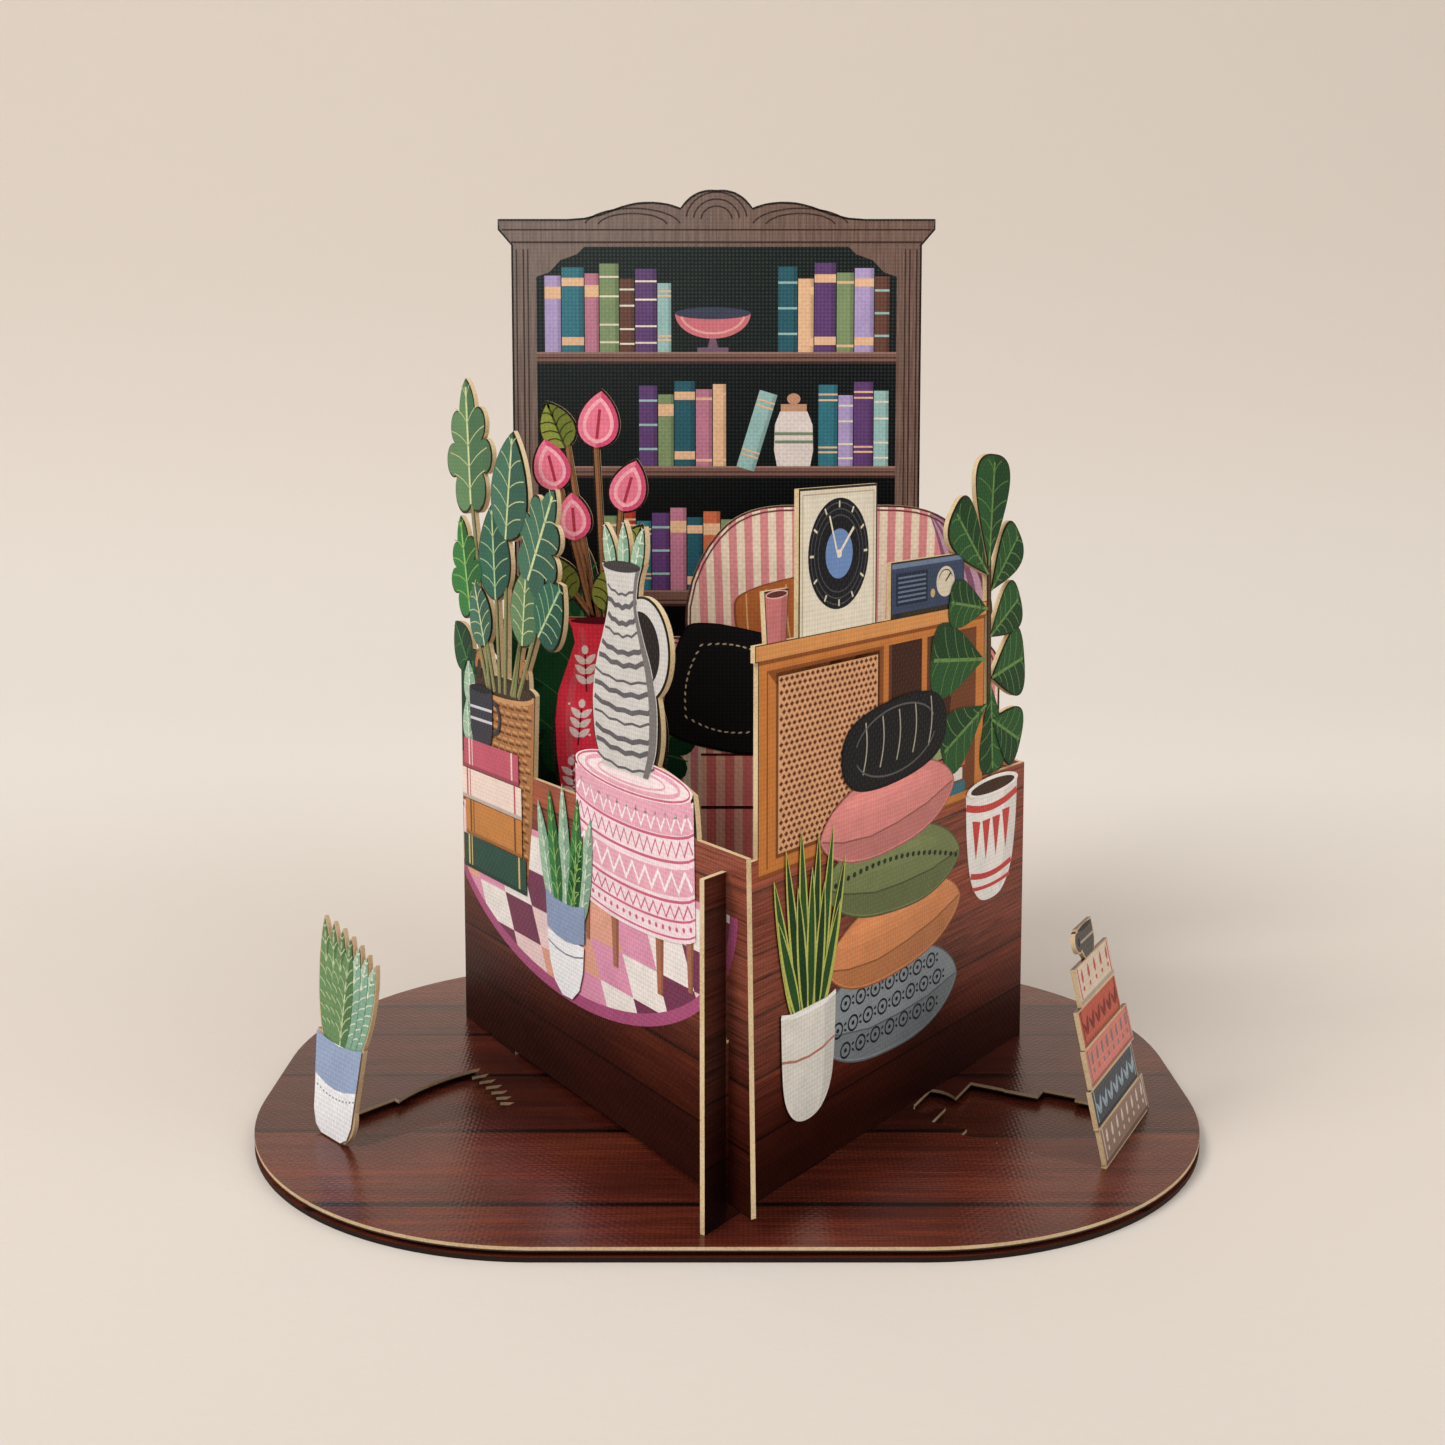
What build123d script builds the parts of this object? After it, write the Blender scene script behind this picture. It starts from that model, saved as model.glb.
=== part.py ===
import os
from math import atan2, cos, degrees, pi, radians, sin, tan

from build123d import *

os.makedirs("parts", exist_ok=True)

# A standing three-dimensional greeting card. Two sheets make a flat base with rounded ends. Two
# folded walls stand on it and cross in front by half slots. Their returns are glued behind a tall
# bookcase panel, and two more panels stand one behind the other inside. Each of them has tongues
# that go through slits in the upper sheet and are folded flat between the sheets.
# Millimetres, +Z up, +Y away from the viewer, origin under the middle of the base.

# Stock
sheet = 1.0  # thickness of the two base sheets
card = 1.1  # thickness of walls and standing panels, and so the gap between the sheets
play = 0.15  # room on each side of a card in a slit or slot

# Base
base_length = 213.0
base_depth = 165.0
front_straight = 77.0  # straight run of the long sides
side_straight = 27.0  # straight run at each end
corner_reach = 68.1  # from the corner's centre to the middle of its curve

# Walls, seen from outside, with x running to the right along each
wall_height = 70.3
crossing_inset = 10.5  # from the front edge of the base to the crossing
left_wall_length = 132.3  # from its corner fold to the crossing
right_wall_length = 125.7  # from the crossing to its corner fold
left_wall_heading = 121.0  # degrees from +X, from the crossing to the corner
right_wall_heading = 53.5
left_wall_end = 8.8  # part that stands out past the crossing
right_wall_end = 7.5
wall_tilt = 1.6  # the left wall rides up in the slots by this angle
post_width = 13.0  # the left wall's raised end, beside its corner fold
post_height = 98.0
slot_height = 36.0  # where the two half slots meet
slot_width = 2.4
slot_slack = 1.0  # the left wall's slot ends this much higher
fold_overlap = 3.0
glue_tab = 12.0
tongue_width = 14.0
tongue_fold = 8.0  # length that is folded flat under the upper sheet
tongue_root = 4.5  # height to which a tongue is drawn up into its card
crease = 0.5  # the folded-up figures reach this far into the sheet at their crease
crease_drop = 0.7
crease_height = 0.3
crease_inset = 0.4

# Bookcase panel
bookcase_width = 110.3
bookcase_height = 202.0  # up to the cornice
bookcase_centre = -2.6
bookcase_front = 72.0  # its front face, from the middle of the base
cornice_overhang = 3.6
cornice_rise = 7.0
cornice_lip = 2.8
pediment_half = 40.0
shoulder_half = 22.0
shoulder_rise = 4.3
arch_half = 9.6
arch_foot = 3.0
arch_rise = 7.7

# Chair panel
chair_front = 36.0
chair_left = -63.0
chair_right = 69.4
chair_plinth = 58.0
chair_centre = 28.5
chair_back_half = 37.0
chair_back_top = 134.2
chair_back_corner = 10.6
chair_arm_half = 49.0
chair_arm_width = 16.0
chair_arm_top = 101.0
bush_foot = -45.2

# Vase panel
vase_front = 12.0
vase_centre = -28.0
vase_left = -48.6
vase_right = -6.0
vase_plinth = 44.0
vase_belly_half = 13.6
vase_belly = 84.0
vase_neck_half = 8.4
vase_neck = 103.0
vase_lip_half = 10.4
vase_lip = 109.0

# Cabinet on the right wall
cabinet_left = 10.0
cabinet_right = 103.6
cabinet_top = 113.0
cabinet_board = 3.4
cabinet_overhang = 1.0
clock_left = 24.0
clock_side = 30.0
radio_left = 60.0
radio_width = 33.0
radio_height = 12.4
cup_left = 12.0
cup_width = 8.6
cup_height = 10.4

# Stool and jug on the left wall
stool_centre = 95.2
stool_half = 27.4
stool_top = 79.0
stool_crown = 4.2
jug_centre = 93.0
jug_belly_half = 15.2
jug_belly = 94.0
jug_neck_half = 7.0
jug_neck = 115.0
jug_lip_half = 9.6
jug_lip = 124.0
jug_ear = 11.0

# Woven tub on the left wall
tub_centre = 28.0
tub_half = 19.6
tub_top = 90.0
tub_handle = 13.4  # from the tub's middle to its handles
handle_half = 3.0
handle_rise = 6.0

# Plants
stalk_width = 2.3
lobe_waist = 0.62  # how far a lobed leaf is cut in, as a share of its half width

# Figures folded up out of the upper sheet: place of the hinge, its heading and how far it leans back
plant_hinge = (-86.4, -34.0)
plant_heading = -47.0
plant_lean = 7.0
plant_hinge_half = 4.2
pot_half = 9.6
pot_foot_half = 6.4
pot_height = 22.0
books_hinge = (87.6, -34.0)
books_heading = 62.0
books_lean = 13.0
book_height = 8.2
book_widths = (35.0, 32.5, 33.5, 28.5, 25.5)
cup_half = 5.4

base_top_height = 2 * sheet + card
front_edge = -base_depth / 2


def heading(angle):
    return Vector(cos(radians(angle)), sin(radians(angle)))


def flat(vector):
    return (vector.X, vector.Y)


# Plan of the two walls. Each plan line is the wall's outer face.
crossing = Vector(0, front_edge + crossing_inset)
left_corner = crossing + heading(left_wall_heading) * left_wall_length
right_corner = crossing + heading(right_wall_heading) * right_wall_length
left_along = -heading(left_wall_heading)
right_along = heading(right_wall_heading)
slot_centre = card / 2 / tan(radians(left_wall_heading - right_wall_heading) / 2)


def standing(foot, along, tilt=0.0):
    # plane of a card that stands on the base at foot: x along it, y up, z out of its printed face
    across = Vector(along.Y, -along.X, 0)
    run = Vector(along.X * cos(radians(tilt)), along.Y * cos(radians(tilt)), sin(radians(tilt)))
    return Plane(origin=(foot.X, foot.Y, base_top_height), x_dir=run, z_dir=across)


left_plane = standing(left_corner, left_along, wall_tilt)
left_plumb = standing(left_corner, left_along)
right_plane = standing(crossing, right_along)
bookcase_plane = standing(Vector(bookcase_centre, bookcase_front), Vector(1, 0))
chair_plane = standing(Vector(0, chair_front), Vector(1, 0))
vase_plane = standing(Vector(0, vase_front), Vector(1, 0))


def folded_outline(points, thickness):
    # plan of a folded strip: its outer line, and its inner line at the card's thickness on the left
    runs = [(b - a).normalized() for a, b in zip(points, points[1:])]
    sides = [Vector(-run.Y, run.X) for run in runs]
    inner = [points[0] + sides[0] * thickness]
    for corner, before, after in zip(points[1:], sides, sides[1:]):
        inner.append(corner + (before + after) * (thickness / (1 + before.dot(after))))
    inner.append(points[-1] + sides[-1] * thickness)
    return [flat(p) for p in points + inner[::-1]]


def polygon(*points):
    with BuildLine() as edge:
        Polyline(*points, close=True)
    make_face(edge.edges())


def leaf(x, y, length, width, lean):
    # pointed leaf growing from x, y. Lean is in degrees from upright, to the right
    along = Vector(sin(radians(lean)), cos(radians(lean)))
    across = Vector(along.Y, -along.X) * width
    root = Vector(x, y)
    tip = root + along * length
    with BuildLine() as edge:
        Bezier(root, root + along * length * 0.1 + across * 0.72, root + along * length * 0.72 + across * 0.55, tip)
        Bezier(tip, root + along * length * 0.72 - across * 0.55, root + along * length * 0.1 - across * 0.72, root)
    make_face(edge.edges())


def blunt_leaf(x, y, length, width, lean):
    # leaf that is widest near its round tip
    along = Vector(sin(radians(lean)), cos(radians(lean)))
    across = Vector(along.Y, -along.X) * width
    root = Vector(x, y)
    tip = root + along * length
    with BuildLine() as edge:
        Bezier(root, root + along * length * 0.42 + across * 0.3, root + along * length * 1.02 + across * 0.82, tip)
        Bezier(tip, root + along * length * 1.02 - across * 0.82, root + along * length * 0.42 - across * 0.3, root)
    make_face(edge.edges())


def lobed_leaf(x, y, length, width, lean, lobes=4):
    # leaf whose edge is a row of rounded lobes, cut in between them
    along = Vector(sin(radians(lean)), cos(radians(lean)))
    across = Vector(along.Y, -along.X)

    def rim(part, share):
        out = share * width / 2 * sin(pi * part**0.72)
        return Vector(x, y) + along * length * part + across * out

    with BuildLine() as edge:
        for side in (1, -1):
            for lobe in range(lobes):
                ThreePointArc(rim(lobe / lobes, side * lobe_waist), rim((lobe + 0.55) / lobes, side),
                              rim((lobe + 1) / lobes, side * lobe_waist))
    make_face(edge.edges())


def stalk(start, end, width=stalk_width):
    run = (Vector(*end) - Vector(*start)).normalized()
    side = Vector(-run.Y, run.X) * (width / 2)
    a, b = Vector(*start), Vector(*end)
    polygon(flat(a + side), flat(b + side), flat(b - side), flat(a - side))


def block(left, right, bottom, top):
    polygon((left, bottom), (right, bottom), (right, top), (left, top))


def tongue(point, along, inward):
    # one tongue: down through the upper sheet at a point of the card's outer line, then folded inward
    wide = along * (tongue_width / 2)
    for deep, bottom, height in ((card, sheet, base_top_height + tongue_root), (tongue_fold, sheet, sheet + card)):
        with BuildSketch(Plane.XY.offset(bottom)) as plan:
            polygon(flat(point - wide), flat(point + wide), flat(point + wide + inward * deep),
                    flat(point - wide + inward * deep))
        extrude(plan.sketch, amount=height - bottom)


def turned(centre, profile):
    # outline of a round thing seen from the side: its right half as (half width, height), mirrored
    right = [(centre + half, height) for half, height in profile]
    left = [(centre - half, height) for half, height in profile[::-1]]
    with BuildLine() as edge:
        Spline(*right)
        Line(right[-1], left[0])
        Spline(*left)
        Line(left[-1], right[0])
    make_face(edge.edges())


def base_outline(inset=0.0):
    # straight sides joined by corner curves that are a little flatter than a circle
    half_length = base_length / 2 - inset
    half_depth = base_depth / 2 - inset
    middle = (corner_reach - inset) / 2**0.5
    with BuildLine() as edge:
        for right, up in ((1, 1), (-1, 1), (-1, -1), (1, -1)):
            side = (right * half_length, up * side_straight / 2)
            top = (right * front_straight / 2, up * half_depth)
            curve = (right * (front_straight / 2 + middle), up * (side_straight / 2 + middle))
            ThreePointArc(side, curve, top)
        for up in (1, -1):
            Line((-front_straight / 2, up * half_depth), (front_straight / 2, up * half_depth))
        for right in (1, -1):
            Line((right * half_length, -side_straight / 2), (right * half_length, side_straight / 2))
    make_face(edge.edges())


def plant_figure():
    # pot of upright leaves, on a short hinge at y = 0
    with BuildLine() as edge:
        Line((-plant_hinge_half, 0), (plant_hinge_half, 0))
        ThreePointArc((plant_hinge_half, 0), (pot_foot_half + 1.2, 2.6), (pot_half - 1.4, 8.0))
        Line((pot_half - 1.4, 8.0), (pot_half, pot_height))
        Line((pot_half, pot_height), (-pot_half, pot_height))
        Line((-pot_half, pot_height), (-pot_half + 1.4, 8.0))
        ThreePointArc((-pot_half + 1.4, 8.0), (-pot_foot_half - 1.2, 2.6), (-plant_hinge_half, 0))
    make_face(edge.edges())
    for lean in (-19, -12, -5, 2, 9, 16, 23):
        leaf(lean * 0.2, pot_height - 4, 27 - lean * 0.14, 7.8, lean * 0.72)


def books_figure():
    # five closed books in a pile with a cup on top, on a hinge as wide as the lowest book
    for step, width in enumerate(book_widths):
        shift = (-1) ** step * 0.9
        block(shift - width / 2, shift + width / 2, step * book_height, (step + 1) * book_height + 0.01)
    top = len(book_widths) * book_height
    with BuildLine() as edge:
        Line((-cup_half * 0.6, top), (cup_half * 0.6, top))
        ThreePointArc((cup_half * 0.6, top), (cup_half * 0.95, top + 2.6), (cup_half, top + 7))
        Line((cup_half, top + 7), (-cup_half, top + 7))
        ThreePointArc((-cup_half, top + 7), (-cup_half * 0.95, top + 2.6), (-cup_half * 0.6, top))
    make_face(edge.edges())
    with Locations((-cup_half - 0.4, top + 4.2)):
        Circle(2.4)


def figure_planes(hinge, turn, lean):
    # the flat place that a figure was cut from, and the plane in which it stands
    along, away = heading(turn), heading(turn + 90)
    foot = (hinge[0], hinge[1], base_top_height)
    toward = Vector(-away.X * cos(radians(lean)), -away.Y * cos(radians(lean)), sin(radians(lean)))
    return Plane(origin=foot, x_dir=along, z_dir=(0, 0, 1)), Plane(origin=foot, x_dir=along, z_dir=toward)


# Where each card's tongue goes through the upper sheet: a point of its outer line and its heading
left_return_end = Vector(bookcase_centre - bookcase_width / 2 - 1.2 * card, bookcase_front + 2 * card)
right_return_end = Vector(bookcase_centre + bookcase_width / 2 + 1.2 * card, bookcase_front + 2 * card)
left_return_along = (left_return_end - left_corner).normalized()
right_return_along = (right_return_end - right_corner).normalized()
left_tongue = 24.0
right_tongues = (30.0, 96.0)
left_return_tongue = (left_return_end - left_corner).length / 2
right_return_tongue = (right_return_end - right_corner).length / 2
bookcase_tongues = (-28.0, 28.0)
chair_tongues = (-34.0, 34.0)
vase_tongue = -28.0


def slit(point, along, inward):
    # cut for one tongue, round the middle of the card's thickness
    middle = point + inward * (card / 2)
    angle = degrees(atan2(along.Y, along.X))
    with Locations(Location((middle.X, middle.Y, 0), (0, 0, angle))):
        Rectangle(tongue_width + 2 * play, card + 2 * play, mode=Mode.SUBTRACT)


left_inward = Vector(-left_along.Y, left_along.X)
right_inward = Vector(-right_along.Y, right_along.X)
back = Vector(0, 1)
across = Vector(1, 0)

left_wall_slits = [
    (left_corner + left_along * left_tongue, left_along, left_inward),
    (left_corner + left_return_along * left_return_tongue, left_return_along,
     Vector(left_return_along.Y, -left_return_along.X)),
]
right_wall_slits = [(crossing + right_along * place, right_along, right_inward) for place in right_tongues]
right_wall_slits.append((right_corner + right_return_along * right_return_tongue, right_return_along,
                         Vector(-right_return_along.Y, right_return_along.X)))
bookcase_slits = [(Vector(bookcase_centre + x, bookcase_front + card), across, -back) for x in bookcase_tongues]
chair_slits = [(Vector(x, chair_front), across, back) for x in chair_tongues]
vase_slits = [(Vector(vase_tongue, vase_front), across, back)]
slits = left_wall_slits + right_wall_slits + bookcase_slits + chair_slits + vase_slits

plant_flat, plant_standing = figure_planes(plant_hinge, plant_heading, plant_lean)
books_flat, books_standing = figure_planes(books_hinge, books_heading, books_lean)
figures = (
    (plant_standing, plant_figure, plant_hinge_half),
    (books_standing, books_figure, book_widths[0] / 2),
)

with BuildPart() as base_bottom:
    with BuildSketch(Plane.XY):
        base_outline()
    extrude(amount=sheet)

with BuildPart() as base_top:
    with BuildSketch(Plane.XY.offset(sheet + card)):
        base_outline()
        for point, along, inward in slits:
            slit(point, along, inward)
    extrude(amount=sheet)
    for flat_place, outline in ((plant_flat, plant_figure), (books_flat, books_figure)):
        with BuildSketch(flat_place):
            outline()
        extrude(amount=-2 * sheet, mode=Mode.SUBTRACT)
    for plane, outline, hinge_half in figures:
        with BuildSketch(plane):
            outline()
            with Locations((0, crease_height / 2)):
                Rectangle(4 * hinge_half, crease_height, mode=Mode.SUBTRACT)
            block(crease_inset - hinge_half, hinge_half - crease_inset, -crease_drop, 2 * crease_height)
        extrude(amount=-sheet)
        with BuildSketch(plane.offset(crease)):
            block(crease_inset - hinge_half, hinge_half - crease_inset, -crease_drop, -crease_drop / 3)
        extrude(amount=-crease - sheet / 2)

# Left wall: a potted plant, a jug on a stool and the wall itself are one die-cut outline
left_lobed_leaves = ((12, 134, 32, 29, -3), (45, 117, 27, 24, 36), (10, 107, 25, 21, -12))
left_leaves = (
    (33, 126, 27, 23, 12), (26, 111, 24, 21, -3), (50, 104, 19, 17, 46), (41, 101, 20, 17, 10),
    (19, 99, 18, 15, -20), (8, 93, 14, 13, -38),
)
left_end = left_wall_length + left_wall_end

with BuildPart() as left_wall:
    with BuildSketch(left_plane):
        post_lean = post_height * tan(radians(wall_tilt))
        polygon((0, 0), (left_end, 0), (left_end, wall_height), (post_width, wall_height),
                (post_width, post_height), (post_lean, post_height))
        polygon((tub_centre - tub_half + 3, 60), (tub_centre + tub_half - 3, 60),
                (tub_centre + tub_half, tub_top), (tub_centre - tub_half, tub_top))
        with Locations((tub_centre, tub_top)):
            Ellipse(tub_half, 2.6)
        for side in (-1, 1):
            with Locations((tub_centre + side * tub_handle, tub_top + 2)):
                Ellipse(handle_half, handle_rise)
        for x, y, length, width, slant in left_leaves:
            stalk((tub_centre + (x - tub_centre) * 0.45, tub_top - 1), (x, y + 3))
            leaf(x, y, length, width, slant)
        for x, y, length, width, slant in left_lobed_leaves:
            stalk((tub_centre + (x - tub_centre) * 0.45, tub_top - 1), (x, y + 3))
            lobed_leaf(x, y, length, width, slant)
        with BuildLine():
            Line((stool_centre - stool_half + 3, 50), (stool_centre + stool_half - 3, 50))
            Spline((stool_centre + stool_half - 3, 50), (stool_centre + stool_half, 65),
                   (stool_centre + stool_half - 1.2, stool_top))
            ThreePointArc((stool_centre + stool_half - 1.2, stool_top), (stool_centre, stool_top + stool_crown),
                          (stool_centre - stool_half + 1.2, stool_top))
            Spline((stool_centre - stool_half + 1.2, stool_top), (stool_centre - stool_half, 65),
                   (stool_centre - stool_half + 3, 50))
        make_face()
        turned(jug_centre, ((jug_belly_half - 4, stool_top), (jug_belly_half, jug_belly),
                            (jug_neck_half + 3, jug_neck - 8), (jug_neck_half, jug_neck), (jug_lip_half, jug_lip)))
        with Locations((jug_centre + jug_neck_half + 2, (jug_neck + jug_belly) / 2 + 2)):
            Ellipse(jug_ear, jug_ear)
        for slant in (-20, 2, 24):
            leaf(jug_centre + slant * 0.2, jug_lip - 3, 12, 6, slant)
    extrude(amount=-card)
    with BuildSketch(Plane.XY.offset(base_top_height)):
        outer = [left_corner + left_along * fold_overlap, left_corner, left_return_end,
                 left_return_end + Vector(glue_tab, 0)]
        polygon(*folded_outline(outer, -card))
    extrude(amount=wall_height)
    for slit_place in left_wall_slits:
        tongue(*slit_place)
    with BuildSketch(left_plumb.offset(play)):
        middle = left_wall_length - slot_centre
        block(middle - slot_width / 2, middle + slot_width / 2, -5, slot_height + slot_slack)
    extrude(amount=-card - 2 * play, mode=Mode.SUBTRACT)

# Right wall: a cabinet with things on it, and a tree in a pot
right_leaves = (
    (105, 121, 27, 20, 5), (105, 119, 24, 16, -46), (106, 115, 20, 15, 48), (105, 111, 20, 14, -80),
    (106, 104, 18, 15, 62), (104, 99, 27, 21, -84), (107, 94, 18, 20, 80), (105, 88, 24, 18, -112),
    (107, 84, 18, 17, 116), (107, 93, 23, 16, 176),
)

with BuildPart() as right_wall:
    with BuildSketch(right_plane):
        block(-right_wall_end, right_wall_length, 0, wall_height)
        block(cabinet_left, cabinet_right, 60, cabinet_top - cabinet_board)
        block(cabinet_left - cabinet_overhang, cabinet_right + cabinet_overhang,
              cabinet_top - cabinet_board - 0.01, cabinet_top)
        block(clock_left, clock_left + clock_side, cabinet_top - 1, cabinet_top + clock_side)
        block(radio_left, radio_left + radio_width, cabinet_top - 1, cabinet_top + radio_height)
        polygon((cup_left + 1, cabinet_top - 1), (cup_left + cup_width - 1, cabinet_top - 1),
                (cup_left + cup_width, cabinet_top + cup_height), (cup_left, cabinet_top + cup_height))
        stalk((107, 64), (105, 130))
        for x, y, length, width, slant in right_leaves:
            blunt_leaf(x, y, length, width, slant)
    extrude(amount=-card)
    with BuildSketch(Plane.XY.offset(base_top_height)):
        outer = [right_corner - right_along * fold_overlap, right_corner, right_return_end,
                 right_return_end - Vector(glue_tab, 0)]
        polygon(*folded_outline(outer, card))
    extrude(amount=wall_height)
    for slit_place in right_wall_slits:
        tongue(*slit_place)
    with BuildSketch(right_plane.offset(play)):
        block(slot_centre - slot_width / 2, slot_centre + slot_width / 2, slot_height, wall_height + 5)
    extrude(amount=-card - 2 * play, mode=Mode.SUBTRACT)

# Bookcase: plain sides, a slanted cornice and a low pediment of two shoulders with an arch between
half = bookcase_width / 2
cornice = half + cornice_overhang
cornice_top = bookcase_height + cornice_rise

with BuildPart() as bookcase_panel:
    with BuildSketch(bookcase_plane):
        with BuildLine():
            Polyline((0, 0), (half, 0), (half, bookcase_height), (cornice, cornice_top - cornice_lip),
                     (cornice, cornice_top), (pediment_half, cornice_top))
            Spline((pediment_half, cornice_top), (shoulder_half, cornice_top + shoulder_rise),
                   (arch_half, cornice_top + arch_foot), tangents=((-1, 0), (-1, -0.45)))
            ThreePointArc((arch_half, cornice_top + arch_foot),
                          (arch_half * 0.72, cornice_top + arch_foot + (arch_rise - arch_foot) * 0.64),
                          (0, cornice_top + arch_rise))
            mirror(about=Plane.YZ)
        make_face()
    extrude(amount=-card)
    for slit_place in bookcase_slits:
        tongue(*slit_place)

# Chair panel: a round-backed chair and a bush, on a plinth that spans the walls
bush_leaves = ((-4, 64, 53, 24, -4), (5, 64, 60, 27, 5), (11, 62, 48, 24, 22), (15, 58, 36, 22, 42))

with BuildPart() as chair_panel:
    with BuildSketch(chair_plane):
        block(chair_left, chair_right, 0, chair_plinth)
        with BuildLine():
            left, right = chair_centre - chair_back_half, chair_centre + chair_back_half
            Polyline((left, 95), (left - 1, 50), (right + 1, 50), (right, 95))
            Spline((right, 95), (right - 1.8, 120.5), (right - chair_back_corner, chair_back_top - 3.1),
                   (chair_centre, chair_back_top), (left + chair_back_corner, chair_back_top - 3.1),
                   (left + 1.8, 120.5), (left, 95))
        make_face()
        arm_left = chair_centre - chair_arm_half
        arm_right = min(chair_centre + chair_arm_half, chair_right) - chair_arm_width
        for edge in (arm_left, arm_right):
            centre = edge + chair_arm_width / 2
            block(edge, edge + chair_arm_width, 40, chair_arm_top - chair_arm_width / 2)
            with Locations((centre, chair_arm_top - chair_arm_width / 2)):
                Circle(chair_arm_width / 2)
        for x, y, length, width, slant in bush_leaves:
            lobed_leaf(bush_foot + x, y, length, width, slant, 5)
        block(bush_foot - 12, bush_foot + 22, 50, 74)
    extrude(amount=-card)
    for slit_place in chair_slits:
        tongue(*slit_place)

# Vase panel: flowers in a vase, on a plinth of its own
bloom_places = ((-3, 149, 14.5, 11, 6), (-12, 139, 13.5, 10, -14), (3, 134, 13.5, 10, 16), (-8, 127, 12.5, 9.5, -4))
vase_leaves = ((-10, 149, 12.5, 9.5, -22), (3, 120, 12.5, 9.5, 24), (-1, 110, 12.5, 9.5, 10), (-9, 113, 12.5, 9.5, -26))

with BuildPart() as vase_panel:
    with BuildSketch(vase_plane):
        block(vase_left, vase_right, 0, vase_plinth)
        turned(vase_centre, ((vase_neck_half, vase_plinth - 2), (vase_belly_half - 2, vase_belly - 20),
                             (vase_belly_half, vase_belly), (vase_neck_half, vase_neck), (vase_lip_half, vase_lip)))
        for x, y, length, width, slant in bloom_places + vase_leaves:
            stalk((vase_centre + x * 0.3, vase_lip - 2), (vase_centre + x, y + 2), 1.8)
            leaf(vase_centre + x, y, length, width, slant)
    extrude(amount=-card)
    for slit_place in vase_slits:
        tongue(*slit_place)

pieces = {
    "base_bottom": base_bottom,
    "base_top": base_top,
    "left_wall": left_wall,
    "right_wall": right_wall,
    "bookcase_panel": bookcase_panel,
    "chair_panel": chair_panel,
    "vase_panel": vase_panel,
}

for name, piece in pieces.items():
    piece.part.label = name
    export_step(piece.part, f"parts/{name}.step")
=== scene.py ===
from math import atan2, cos, degrees, hypot, pi, radians, sin

import bpy
from mathutils import Matrix, Vector


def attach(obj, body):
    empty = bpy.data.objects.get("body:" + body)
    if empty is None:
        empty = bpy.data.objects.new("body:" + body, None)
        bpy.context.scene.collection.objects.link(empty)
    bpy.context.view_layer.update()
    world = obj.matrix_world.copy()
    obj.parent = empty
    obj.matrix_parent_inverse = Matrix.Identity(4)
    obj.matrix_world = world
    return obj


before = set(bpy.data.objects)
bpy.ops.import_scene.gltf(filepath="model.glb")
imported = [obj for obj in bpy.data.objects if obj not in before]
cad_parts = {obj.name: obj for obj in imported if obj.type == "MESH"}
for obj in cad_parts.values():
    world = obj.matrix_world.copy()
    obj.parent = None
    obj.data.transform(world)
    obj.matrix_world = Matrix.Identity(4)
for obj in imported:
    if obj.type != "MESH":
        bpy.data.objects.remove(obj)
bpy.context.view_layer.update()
mm = 0.001

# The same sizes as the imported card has, in millimetres and degrees
card = {
    "boardTop": 3.1,
    "crossing": (0.0, -72.0),
    "leftLength": 132.3,
    "leftHeading": 121.0,
    "rightHeading": 53.5,
    "leftTilt": 1.6,
    "wallHeight": 70.3,
    "bookcase": (-2.6, 72.0),
    "bookcaseWidth": 110.3,
    "chair": (0, 36.0),
    "vase": (0, 12.0),
    # hinge, heading and lean of the two folded-up figures
    "plantFigure": ((-86.4, -34.0), -47.0, 7.0),
    "booksFigure": ((87.6, -34.0), 62.0, 13.0),
}


def heading(angle):
    return Vector((cos(radians(angle)), sin(radians(angle)), 0))


def planeAt(foot, along, up, out):
    # x runs along the card, y goes up it, z comes out of its printed face
    place = Matrix((along, up, out)).transposed().to_4x4()
    place.translation = Vector((foot[0], foot[1], card["boardTop"])) * mm
    return place


def standingPlane(foot, along, tilt=0.0):
    run = Vector((along.x * cos(radians(tilt)), along.y * cos(radians(tilt)), sin(radians(tilt))))
    out = Vector((along.y, -along.x, 0))
    return planeAt(foot, run, out.cross(run), out)


def figurePlane(hinge, turn, lean):
    along, away = heading(turn), heading(turn + 90)
    out = Vector((-away.x * cos(radians(lean)), -away.y * cos(radians(lean)), sin(radians(lean))))
    return planeAt(hinge, along, out.cross(along), out)


crossing = Vector((*card["crossing"], 0))
leftCorner = crossing + heading(card["leftHeading"]) * card["leftLength"]
planes = {
    "left_wall": standingPlane(leftCorner, -heading(card["leftHeading"]), card["leftTilt"]),
    "right_wall": standingPlane(crossing, heading(card["rightHeading"])),
    "bookcase_panel": standingPlane(card["bookcase"], heading(0)),
    "chair_panel": standingPlane(card["chair"], heading(0)),
    "vase_panel": standingPlane(card["vase"], heading(0)),
    "plant_figure": figurePlane(*card["plantFigure"]),
    "books_figure": figurePlane(*card["booksFigure"]),
}


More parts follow.
